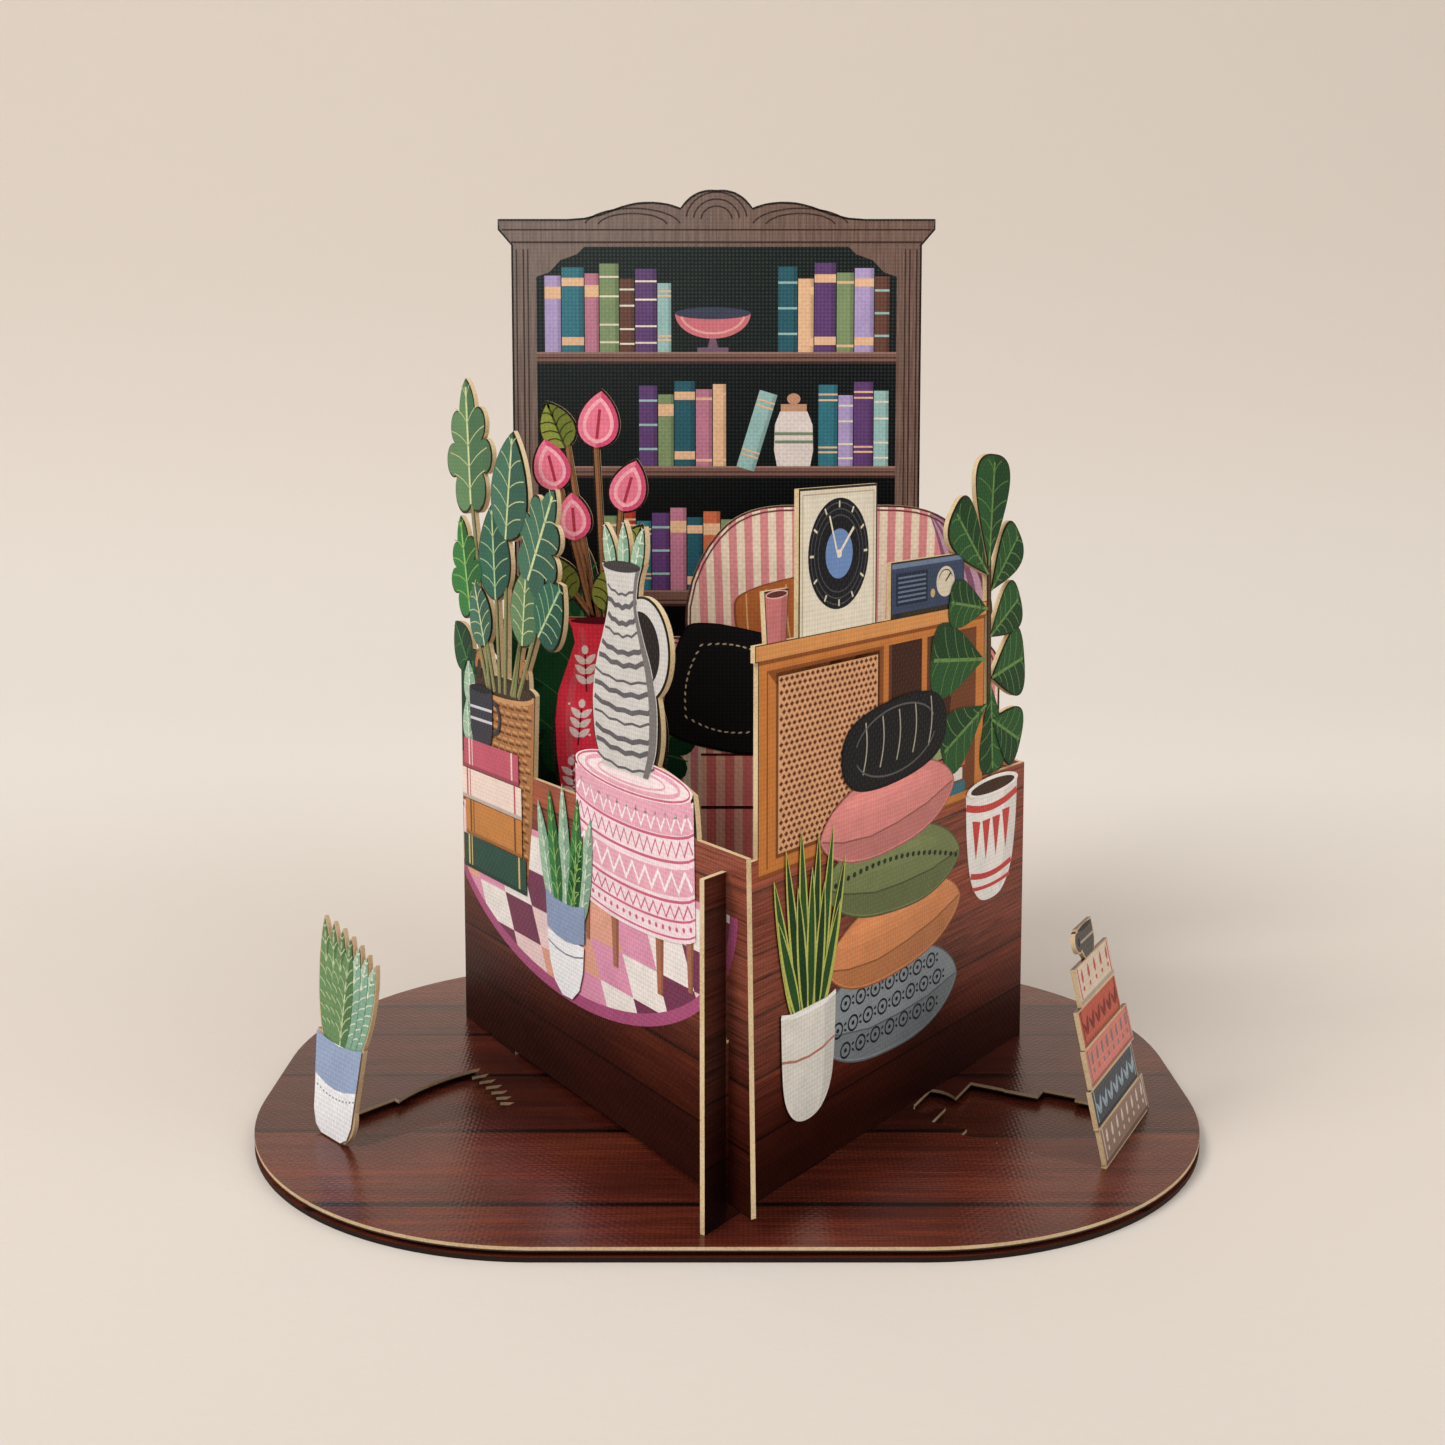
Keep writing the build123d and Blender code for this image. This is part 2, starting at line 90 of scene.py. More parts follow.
class Signal:
    # a number or colour in a node tree. Python's operators on it add Math nodes
    def __init__(self, recipe, socket):
        self.recipe = recipe
        self.socket = socket

    def maths(self, operation, *values):
        return self.recipe.node("ShaderNodeMath", {"operation": operation}, *values)

    def __add__(self, other):
        return self.maths("ADD", self, other)

    __radd__ = __add__

    def __sub__(self, other):
        return self.maths("SUBTRACT", self, other)

    def __rsub__(self, other):
        return self.maths("SUBTRACT", other, self)

    def __mul__(self, other):
        return self.maths("MULTIPLY", self, other)

    __rmul__ = __mul__

    def __truediv__(self, other):
        return self.maths("DIVIDE", self, other)

    def __abs__(self):
        return self.maths("ABSOLUTE", self)

    def __gt__(self, other):
        return self.maths("GREATER_THAN", self, other)

    def __lt__(self, other):
        return self.maths("LESS_THAN", self, other)

    def wave(self):
        return self.maths("SINE", self)

    def part(self):
        return self.maths("FRACT", self)

    def floor(self):
        return self.maths("FLOOR", self)

    def most(self, other):
        return self.maths("MAXIMUM", self, other)

    def least(self, other):
        return self.maths("MINIMUM", self, other)

    def held(self):
        return self.recipe.node("ShaderNodeMath", {"operation": "ADD", "use_clamp": True}, self, 0)

    def ramped(self, low, high):
        # 0 at low and 1 at high, held outside them
        spread = {"data_type": "FLOAT", "interpolation_type": "SMOOTHSTEP"}
        return self.recipe.node("ShaderNodeMapRange", spread, self, low, high, 0, 1)


class Recipe:
    # one procedural material
    def __init__(self, name, roughness, sheen=0.5, warmth=(1.0, 1.0, 1.0)):
        self.material = bpy.data.materials.new(name)
        self.material.use_nodes = True
        self.tree = self.material.node_tree
        self.surface = self.tree.nodes["Principled BSDF"]
        self.surface.inputs["Roughness"].default_value = roughness
        self.surface.inputs["Specular IOR Level"].default_value = sheen
        self.surface.inputs["Specular Tint"].default_value = (*warmth, 1.0)
        place = self.tree.nodes.new("ShaderNodeTexCoord")
        self.spot = Signal(self, place.outputs["Object"])
        self.facing = Signal(self, place.outputs["Normal"])

    def wire(self, value, socket):
        if isinstance(value, Signal):
            self.tree.links.new(value.socket, socket)
        elif isinstance(value, tuple) and len(value) == 3 and socket.type == "RGBA":
            socket.default_value = (*value, 1)
        else:
            socket.default_value = value

    def node(self, kind, settings, *values, **named):
        made = self.tree.nodes.new(kind)
        for key, value in settings.items():
            setattr(made, key, value)
        usable = [socket for socket in made.inputs if socket.enabled]
        for value, socket in zip(values, usable):
            self.wire(value, socket)
        for key, value in named.items():
            self.wire(value, made.inputs[key])
        return Signal(self, next(socket for socket in made.outputs if socket.enabled))

    def dot(self, vector, direction):
        made = self.tree.nodes.new("ShaderNodeVectorMath")
        made.operation = "DOT_PRODUCT"
        self.wire(vector, made.inputs[0])
        made.inputs[1].default_value = direction
        return Signal(self, made.outputs["Value"])

    def along(self, plane, axis):
        # distance in millimetres along one axis of a card's plane, from its origin
        direction = plane.col[axis].xyz
        start = plane.translation.dot(direction) / mm
        return self.dot(self.spot, tuple(direction / mm)) - start

    def towards(self, plane):
        # 1 where a face looks the way the card's printed side does, -1 on its back
        return self.dot(self.facing, tuple(plane.col[2].xyz))

    def join(self, *parts):
        return self.node("ShaderNodeCombineXYZ", {}, *parts)

    def noise(self, vector, scale, detail=2.0, roughness=0.5):
        return self.node("ShaderNodeTexNoise", {}, Vector=vector, Scale=scale, Detail=detail,
                         Roughness=roughness)

    def mix(self, share, first, second, blend="MIX"):
        made = self.tree.nodes.new("ShaderNodeMix")
        made.data_type = "RGBA"
        made.blend_type = blend
        made.clamp_factor = True
        for value, socket in zip((share, first, second), (0, 6, 7)):
            self.wire(value, made.inputs[socket])
        return Signal(self, made.outputs[2])

    def attribute(self, name):
        made = self.tree.nodes.new("ShaderNodeAttribute")
        made.attribute_name = name
        return Signal(self, made.outputs["Color"])

    def finish(self, colour, height, depth, strength, roughness=None):
        self.wire(colour, self.surface.inputs["Base Color"])
        if roughness is not None:
            self.wire(roughness, self.surface.inputs["Roughness"])
        bump = self.node("ShaderNodeBump", {}, Strength=strength, Distance=depth, Height=height)
        self.wire(bump, self.surface.inputs["Normal"])
        return self.material


def linear(red, green, blue):
    # a colour read as 0 to 255 on a screen, as the shader wants it
    parts = [value / 255 for value in (red, green, blue)]
    return tuple(part / 12.92 if part <= 0.04045 else ((part + 0.055) / 1.055) ** 2.4 for part in parts)


paper = {
    "linenPitch": 1.0,  # millimetres from thread to thread
    "linenDepth": 0.00006,
    "boardEdge": linear(216, 193, 152),
    "edgeLayer": linear(190, 160, 118),
    "edgeLight": linear(238, 220, 186),
    "boardBack": linear(222, 208, 184),
    "backCloud": linear(219, 205, 180),
    "backFibre": linear(196, 178, 148),
    "woodDark": linear(42, 12, 8),
    "woodMiddle": linear(94, 37, 24),
    "woodLight": linear(158, 80, 46),
    "woodSeam": linear(7, 3, 3),
    # pale colour of the painted highlights on the weave crests and of the painted glare on the bookcase
    "crest": linear(180, 198, 196),
    "sheen": 0.07,  # specular level of the printed faces
    "inkRoughness": 0.42,
    "square": 0.9,  # a face that looks along its card's front or back by more than this is flat
}


def linen(recipe, plane):
    # plain weave embossed into the paper's face: its height, and 1 on the crest of each thread
    turn = pi / paper["linenPitch"]
    across = (recipe.along(plane, 0) * turn).wave()
    upright = (recipe.along(plane, 1) * turn).wave()
    uneven = recipe.noise(recipe.spot, 1300.0)
    height = across * upright * 0.45 + (across * across + upright * upright) * 0.4 + uneven * 0.5
    crest = across * across * upright * upright * (uneven * 1.2 + 0.4)
    return height, crest


def paintedWeaveLight(recipe, colour, crest, glintShare):
    # painted light on embossed paper: the colour is a little darker in the grooves as painted shade, and
    # mixed towards a pale colour on the crests as a painted highlight
    colour = recipe.mix(1.0, colour, crest * 0.18 + 0.94, "MULTIPLY")
    return recipe.mix(crest * glintShare, colour, paper["crest"])


def plankColour(recipe, run, rise, row, seam, bright, gap):
    # dark stained planks along run. row numbers them, seam is the distance to the next one
    join, noise = recipe.join, recipe.noise
    broad = noise(join(run * 0.013 + row * 3.7, rise * 0.24 + row * 1.3, row * 0.7), 1.6, 5.0, 0.6)
    fine = noise(join(run * 0.032 + row * 7.1, rise * 1.5, row * 2.9), 1.9, 5.0, 0.7)
    tone = noise(join(row * 5.31, row * 2.17, 0.4), 1.0, 0.0)
    cloud = noise(join(run * 0.02 + row * 2.3, rise * 0.05, row * 1.9), 1.0)
    streak = (broad * 0.5 + fine * 0.7 + tone * 0.7 + cloud * 0.5 - 0.74).held()
    wood = recipe.mix(streak.ramped(0.1, 0.6), paper["woodDark"], paper["woodMiddle"])
    wood = recipe.mix(streak.ramped(0.4, 0.95) * (0.7 * bright), wood, paper["woodLight"])
    wood = recipe.mix(1 - seam.ramped(*gap), wood, paper["woodSeam"])
    return wood, fine


def boardEdge(recipe):
    # the cut edge of pressed board: cream, with fine layers and a few lighter patches
    layers = recipe.noise(recipe.spot, 2600.0, 3.0)
    broad = recipe.noise(recipe.spot, 120.0)
    edge = recipe.mix(layers.ramped(0.35, 0.75), paper["boardEdge"], paper["edgeLayer"])
    return recipe.mix(broad.ramped(0.35, 0.7) * 0.35, edge, paper["edgeLight"])


def boardBack(recipe):
    # the unprinted side: cream paper with soft mottling and a few fibres
    cloud = recipe.noise(recipe.spot, 90.0, 4.0)
    fibre = recipe.noise(recipe.spot, 1500.0, 4.0, 0.7)
    back = recipe.mix(cloud.ramped(0.3, 0.7), paper["boardBack"], paper["backCloud"])
    return recipe.mix(fibre.ramped(0.56, 0.74) * 0.4, back, paper["backFibre"])


def glareShare(run, rise):
    # painted glare: the bookcase print is paler towards its upper left corner, where the light falls on it
    return rise.ramped(100, 205) * (1 - run.ramped(-50, 40) * 0.85) * 0.14


def dress(node, material):
    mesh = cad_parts[node].data
    mesh.materials.clear()
    mesh.materials.append(material)


print("boards")
wall = {
    # which way the printed side of each return looks
    "returns": {"left_wall": (-0.964, 0.266, 0), "right_wall": (0.908, 0.420, 0)},
    "plank": 12.8,
    "plankGap": (0.12, 0.45),
    "bright": 1.1,
    "outline": linear(52, 46, 30),
    "roughness": 0.4,
    "warmth": (1.0, 0.5, 0.42),
    # painted shade and light on the walls: the first colour is what the wood darkens to near the floor, the
    # next lightens it higher up, and the third is the painted shadow on the right wall's fin
    "foot": linear(32, 7, 4),
    "litWood": linear(132, 84, 68),
    "shadow": linear(9, 3, 3),
    "dark": {"left_wall": (4, 42), "right_wall": (3, 30)},
    "above": card["wallHeight"] + 0.4,
}
for name, side in wall["returns"].items():
    recipe = Recipe(name + "_board", wall["roughness"], paper["sheen"], wall["warmth"])
    plane = planes[name]
    run, rise = recipe.along(plane, 0), recipe.along(plane, 1)
    place = rise / wall["plank"]
    share = place.part()
    seam = share.least(1 - share) * wall["plank"]
    wood, fine = plankColour(recipe, run, rise, place.floor(), seam, wall["bright"], wall["plankGap"])
    # painted light and shade: the wood is lighter higher up and darker towards the floor, and a painted
    # shadow darkens the right wall's fin beyond the crossing
    low, high = wall["dark"][name]
    pale = rise.ramped(low + 8, high + 8)
    wood = recipe.mix(pale * 0.42 * fine.ramped(0.25, 0.7), wood, wall["litWood"])
    wood = recipe.mix(1.0, wood, pale + 0.95, "MULTIPLY")
    wood = recipe.mix((1 - rise.ramped(low, high)) * 0.85, wood, wall["foot"])
    if name == "right_wall":
        wood = recipe.mix((run < -0.6) * 0.75, wood, wall["shadow"])
    above = rise > wall["above"]
    printed = recipe.mix(above, wood, wall["outline"])
    towards = recipe.towards(plane)
    flat = (abs(recipe.dot(recipe.facing, side)) > paper["square"]).most(towards > paper["square"])
    # the glue tabs, and the backs of what stands above the wall, are plain board
    tab = recipe.dot(recipe.facing, (0, 1, 0)) > 0.97
    behind = ((towards < -paper["square"]) * above).most(tab)
    flat = flat.most(towards < -paper["square"]) * (1 - behind)
    colour = recipe.mix(flat, boardEdge(recipe), printed)
    colour = recipe.mix(behind, colour, boardBack(recipe))
    height, crest = linen(recipe, plane)
    # painted shade in the weave's grooves and painted highlights on its crests
    colour = recipe.mix(flat, colour, paintedWeaveLight(recipe, colour, crest, 0.005))
    gloss = recipe.noise(recipe.spot, 60.0) * 0.12 + 0.34 + (1 - flat) * 0.4
    dress(name, recipe.finish(colour, height * flat + fine * 0.3, paper["linenDepth"], 0.6, gloss))

frontPanel = {
    "bookcase_panel": {"front": linear(132, 103, 91), "shade": linear(103, 76, 66), "grain": (1.2, 0.05)},
    "chair_panel": {"front": linear(104, 62, 56), "shade": linear(80, 46, 42), "grain": (0.3, 0.3)},
    "vase_panel": {"front": linear(44, 34, 26), "shade": linear(30, 22, 18), "grain": (0.3, 0.3)},
}
for name, look in frontPanel.items():
    recipe = Recipe(name + "_board", paper["inkRoughness"], paper["sheen"])
    plane = planes[name]
    run, rise = recipe.along(plane, 0), recipe.along(plane, 1)
    grainPlace = recipe.join(run * look["grain"][0], rise * look["grain"][1], 0.0)
    grain = recipe.noise(grainPlace, 1.6, 5.0, 0.66)
    printed = recipe.mix(grain.ramped(0.35, 0.68), look["shade"], look["front"])
    towards = recipe.towards(plane)
    flat = towards > paper["square"]
    colour = recipe.mix(flat, boardEdge(recipe), printed)
    colour = recipe.mix(towards < -paper["square"], colour, boardBack(recipe))
    height, crest = linen(recipe, plane)
    # painted shade in the weave's grooves and painted highlights on its crests
    colour = recipe.mix(flat, colour, paintedWeaveLight(recipe, colour, crest, 0.05))
    if name == "bookcase_panel":
        # painted glare on the frame, paler towards its upper left
        colour = recipe.mix(glareShare(run, rise) * flat, colour, paper["crest"])
    height = height * (abs(towards) > paper["square"])
    dress(name, recipe.finish(colour, height, paper["linenDepth"], 0.6, (1 - flat) * 0.35 + 0.4))

# The base: broad planks across the upper sheet, which the two figures also carry on their backs
base = {
    "seams": (48.5, 28.0, 1.6, -30.0, -65.0),
    "seamGap": (0.45, 1.3),
    "roughness": 0.22,
    "warmth": (1.0, 0.62, 0.55),
    # how bright the wood is, and the specular level
    "sheets": {"base_top": (0.96, 0.62), "base_bottom": (1.14, 0.4)},
    "rimLine": 2.4,  # the upper sheet's cut edge is cream above this height
    # painted shadow line: the colour of the cut edge below that height
    "rimShadow": linear(44, 32, 24),
    "rimDarker": linear(120, 88, 60),
    "lowerTint": linear(150, 78, 52),
    "lowerRim": (linear(7, 5, 4), linear(20, 13, 10)),
}
ground = Matrix.Identity(4)
for name, (bright, sheen) in base["sheets"].items():
    recipe = Recipe(name + "_board", base["roughness"], sheen, base["warmth"])
    run, tall = recipe.along(ground, 0), recipe.along(ground, 2)
    rise = recipe.along(ground, 1) + tall
    place = rise - card["boardTop"]
    row = sum(place > seam for seam in base["seams"])
    seam = abs(place - base["seams"][0])
    for other in base["seams"][1:]:
        seam = seam.least(abs(place - other))
    wood, fine = plankColour(recipe, run, rise, row, seam, bright, base["seamGap"])
    up = recipe.dot(recipe.facing, (0, 0, 1))
    flat = up > paper["square"]
    if name == "base_top":
        raised = tall > card["boardTop"] + 0.2
        for figure in ("plant_figure", "books_figure"):
            flat = flat.most((recipe.towards(planes[figure]) < -0.95) * raised)
        # the upper sheet's cut edge is mixed a little darker
        darkerEdge = recipe.mix(0.2, boardEdge(recipe), base["rimDarker"])
        # painted shadow line along the lower part of the upper sheet's cut edge
        rim = recipe.mix(tall > base["rimLine"], base["rimShadow"], darkerEdge)
    else:
        wood = recipe.mix(0.12, wood, base["lowerTint"])
        rim = recipe.mix(recipe.noise(recipe.spot, 900.0, 3.0).ramped(0.3, 0.7), *base["lowerRim"])
        rim = recipe.mix(up < -paper["square"], rim, boardBack(recipe))
    colour = recipe.mix(flat, rim, wood)
    height, crest = linen(recipe, ground)
    # painted shade in the weave's grooves and painted highlights on its crests
    colour = recipe.mix(flat, colour, paintedWeaveLight(recipe, colour, crest, 0.01))
    gloss = recipe.noise(recipe.spot, 45.0, 3.0) * 0.1 + 0.17 + (1 - flat) * 0.5
    dress(name, recipe.finish(colour, height * flat + fine * 0.25, paper["linenDepth"], 0.4, gloss))


def inkMaterial(name, plane):
    # printed ink on embossed paper. Its colour comes from each shape, clouded a little as in gouache
    roughness = paper["inkRoughness"]
    recipe = Recipe(name + "_ink", roughness, paper["sheen"])
    run, rise = recipe.along(plane, 0), recipe.along(plane, 1)
    cloud = recipe.noise(recipe.spot, 170.0, 4.0, 0.6)
    brush = recipe.noise(recipe.join(run * 0.9, rise * 0.25, 0.0), 1.5, 3.0, 0.6)
    fleck = recipe.noise(recipe.join(run * 2.2, rise * 2.2, 0.0), 1.0)
    shade = cloud * 0.34 + brush * 0.26 + fleck * 0.2 + 0.61
    colour = recipe.mix(1.0, recipe.attribute("ink"), shade, "MULTIPLY")
    height, crest = linen(recipe, plane)
    glintShare = 0.01
    # painted highlight and painted glare on the bookcase print: its crests glint more higher up, and it is
    # paler towards the upper left
    if name == "bookcase":
        glintShare = rise.ramped(110, 200) * 0.07 + 0.004
        colour = recipe.mix(glareShare(run, rise) * 0.28, colour, paper["crest"])
    # painted shade in the weave's grooves and painted highlights on its crests
    colour = paintedWeaveLight(recipe, colour, crest, glintShare)
    gloss = recipe.noise(recipe.spot, 60.0) * 0.12 + (roughness - 0.06)
    return recipe.finish(colour, height, paper["linenDepth"], 0.8, gloss)


# Every printed shape is a flat filled curve, made a mesh and laid on its card. A shape is a list of
# corners, or of spline knots with their two handles, in millimetres in the card's own plane.
def box(left, bottom, right, top):
    return [(left, bottom), (right, bottom), (right, top), (left, top)]


def moved(points, x):
    return [(x + px, py) for px, py in points]


def flipped(points, x=0):
    # the points mirrored about x, in the order that carries an outline back
    return [(x - px, py) for px, py in reversed(points)]


def turned(points, x, y, turn):
    # points turned about their own origin and then put in place
    c, s = cos(radians(turn)), sin(radians(turn))
    return [(x + px * c - py * s, y + px * s + py * c) for px, py in points]


def rounded(points, sharp):
    # a smooth closed outline through points. The ones numbered in sharp stay corners
    places = [Vector(point) for point in points]
    knots = []
    for k, place in enumerate(places):
        swing = (places[(k + 1) % len(places)] - places[k - 1]) / 6
        if k in sharp:
            swing = swing * 0
        knots.append((place - swing, place, place + swing))
    return knots


def ellipse(x, y, halfWidth, halfHeight, turn=0.0, first=0.0, last=360.0, steps=32):
    # steps counts the sides of a full turn
    count = max(4, int(steps * abs(last - first) / 360))
    full = abs(last - first) > 359.9
    points = []
    for k in range(count if full else count + 1):
        angle = radians(first + (last - first) * k / count)
        points.append((halfWidth * cos(angle), halfHeight * sin(angle)))
    return turned(points, x, y, turn)


def stroke(points, width):
    # a line of even width through points
    points = [Vector(point) for point in points]
    left, right = [], []
    for k, point in enumerate(points):
        before, after = points[max(k - 1, 0)], points[min(k + 1, len(points) - 1)]
        run = (after - before).normalized()
        side = Vector((-run.y, run.x)) * (width / 2)
        left.append(point + side)
        right.append(point - side)
    return left + right[::-1]


def ring(x, y, halfWidth, halfHeight, width, first=0.0, last=359.8, steps=60, turn=0.0):
    return stroke(ellipse(x, y, halfWidth, halfHeight, turn, first, last, steps), width)


def bentLine(start, end, bend, width, steps=8):
    # a line from start to end that bows sideways by bend
    start, end = Vector(start), Vector(end)
    run = end - start
    side = Vector((-run.y, run.x)).normalized()
    places = [start + run * (k / steps) + side * (bend * sin(pi * k / steps)) for k in range(steps + 1)]
    return stroke(places, width)


def sagging(x, y, halfWidth, drop, width):
    # a line round a pot that is seen a little from above
    points = [(x - halfWidth + halfWidth * k / 4, y - drop * (1 - (k / 4 - 1) ** 2)) for k in range(9)]
    return stroke(points, width)


def clipped(points, outline):
    # the part of a polygon inside a convex outline that runs anticlockwise
    kept = [Vector(point) for point in points]
    rim = [Vector(point) for point in outline]
    for start, end in zip(rim, rim[1:] + rim[:1]):
        run = end - start
        before, kept = kept, []
        for a, b in zip(before, before[1:] + before[:1]):
            inA, inB = run.cross(a - start), run.cross(b - start)
            if inA >= 0:
                kept.append(a)
            if inA * inB < 0:
                kept.append(a.lerp(b, inA / (inA - inB)))
        if len(kept) < 3:
            return []
    return kept


def arcPoints(start, middle, end, steps):
    # points along the circle through three points
    ax, ay, bx, by, cx, cy = *start, *middle, *end
    base = 2 * (ax * (by - cy) + bx * (cy - ay) + cx * (ay - by))
    if abs(base) < 1e-6:
        return [start, middle, end]
    a, b, c = ax**2 + ay**2, bx**2 + by**2, cx**2 + cy**2
    ux = (a * (by - cy) + b * (cy - ay) + c * (ay - by)) / base
    uy = (a * (cx - bx) + b * (ax - cx) + c * (bx - ax)) / base
    radius = hypot(ax - ux, ay - uy)
    first, second, third = atan2(ay - uy, ax - ux), atan2(by - uy, bx - ux), atan2(cy - uy, cx - ux)
    turn = (second - first + pi) % (2 * pi) - pi + (third - second + pi) % (2 * pi) - pi
    angles = [first + turn * k / steps for k in range(steps + 1)]
    return [Vector((ux + radius * cos(angle), uy + radius * sin(angle))) for angle in angles]


def leafAxes(lean):
    along = Vector((sin(radians(lean)), cos(radians(lean))))
    return along, Vector((along.y, -along.x))


leafForms = {
    # how far an inset moves the root and shortens the leaf, then its handles at the root and the tip
    "plain": (1.0, 2.4, (0.1, 0.72), (0.72, 0.55)),
    "blunt": (1.6, 2.6, (0.42, 0.3), (1.02, 0.82)),
}


def leafShape(x, y, length, width, lean, inset=0.0, half=False, form="plain"):
    # the outline of a leaf as it is cut, or its right half
    shift, shorter, (low, lowWide), (high, highWide) = leafForms[form]
    along, across = leafAxes(lean)
    root = Vector((x, y)) + along * inset * shift
    length, across = length - shorter * inset, across * (width - 2.2 * inset)

    def handle(share, wide):
        return root + along * length * share + across * wide

    left = (handle(0.3, 0), handle(0.7, 0)) if half else (handle(low, -lowWide), handle(high, -highWide))
    return [(left[0], root, handle(low, lowWide)), (handle(high, highWide), root + along * length, left[1])]


def lobedShape(x, y, length, width, lean, lobes, inset, sides=(1, -1)):
    # the outline of a lobed leaf: arcs through the same rim points as the cut
    waist = 0.62
    along, across = leafAxes(lean)
    root = Vector((x, y)) + along * inset
    length, width = length - 2 * inset, width - 2 * inset

    def rim(part, share):
        part = min(max(part, 0.0), 1.0)
        return root + along * length * part + across * (share * width / 2 * sin(pi * part**0.72))

    points = []
    for side in sides:
        edge = []
        for lobe in range(lobes):
            start, middle = rim(lobe / lobes, side * waist), rim((lobe + 0.55) / lobes, side)
            edge += arcPoints(start, middle, rim((lobe + 1) / lobes, side * waist), 6)[:-1]
        points += edge + [rim(1.0, 0.0)] if side == sides[0] else edge[::-1]
    return points


cushionForms = {
    # powers that square its outline across and upwards, and how far its corners are drawn out
    "square": (0.55, 0.55, 0.05),
    "bolster": (0.8, 0.8, 0.02),
    "pinched": (0.78, 1.28, 0.0),
}


def cushionRim(halfWidth, halfHeight, form, last=360):
    # a plump cushion's outline about its middle, or its upper half for last 180
    acrossPower, uprightPower, ears = cushionForms[form]
    points, steps = [], 48
    for k in range(steps + (last < 360)):
        angle = radians(last * k / steps)
        c, s = cos(angle), sin(angle)
        reach = 1 + ears * abs(sin(2 * angle)) ** 6
        points.append((halfWidth * reach * (1 if c > 0 else -1) * abs(c) ** acrossPower,
                       halfHeight * reach * (1 if s > 0 else -1) * abs(s) ** uprightPower))
    return points


layer = {"first": 0.015, "step": 0.016, "half": 0.004}
greens = {
    # leaf, its shaded half and its veins
    "blue": ((66, 112, 90), (50, 92, 76), (204, 214, 160)),
    "deep": ((44, 100, 80), (34, 80, 66), (176, 204, 150)),
    "fresh": ((52, 124, 60), (38, 98, 48), (150, 196, 110)),
    "pale": ((158, 190, 164), (128, 166, 142), (226, 236, 212)),
    "olive": ((140, 148, 66), (112, 122, 52), (66, 70, 36)),
    "bush": ((28, 78, 44), (18, 56, 34), (74, 128, 66)),
    "tree": ((40, 84, 42), (28, 64, 32), (104, 140, 74)),
    "moss": ((98, 134, 92), (72, 110, 76), (206, 214, 158)),
    "grey": ((104, 138, 92), (82, 116, 74), (190, 206, 160)),
}


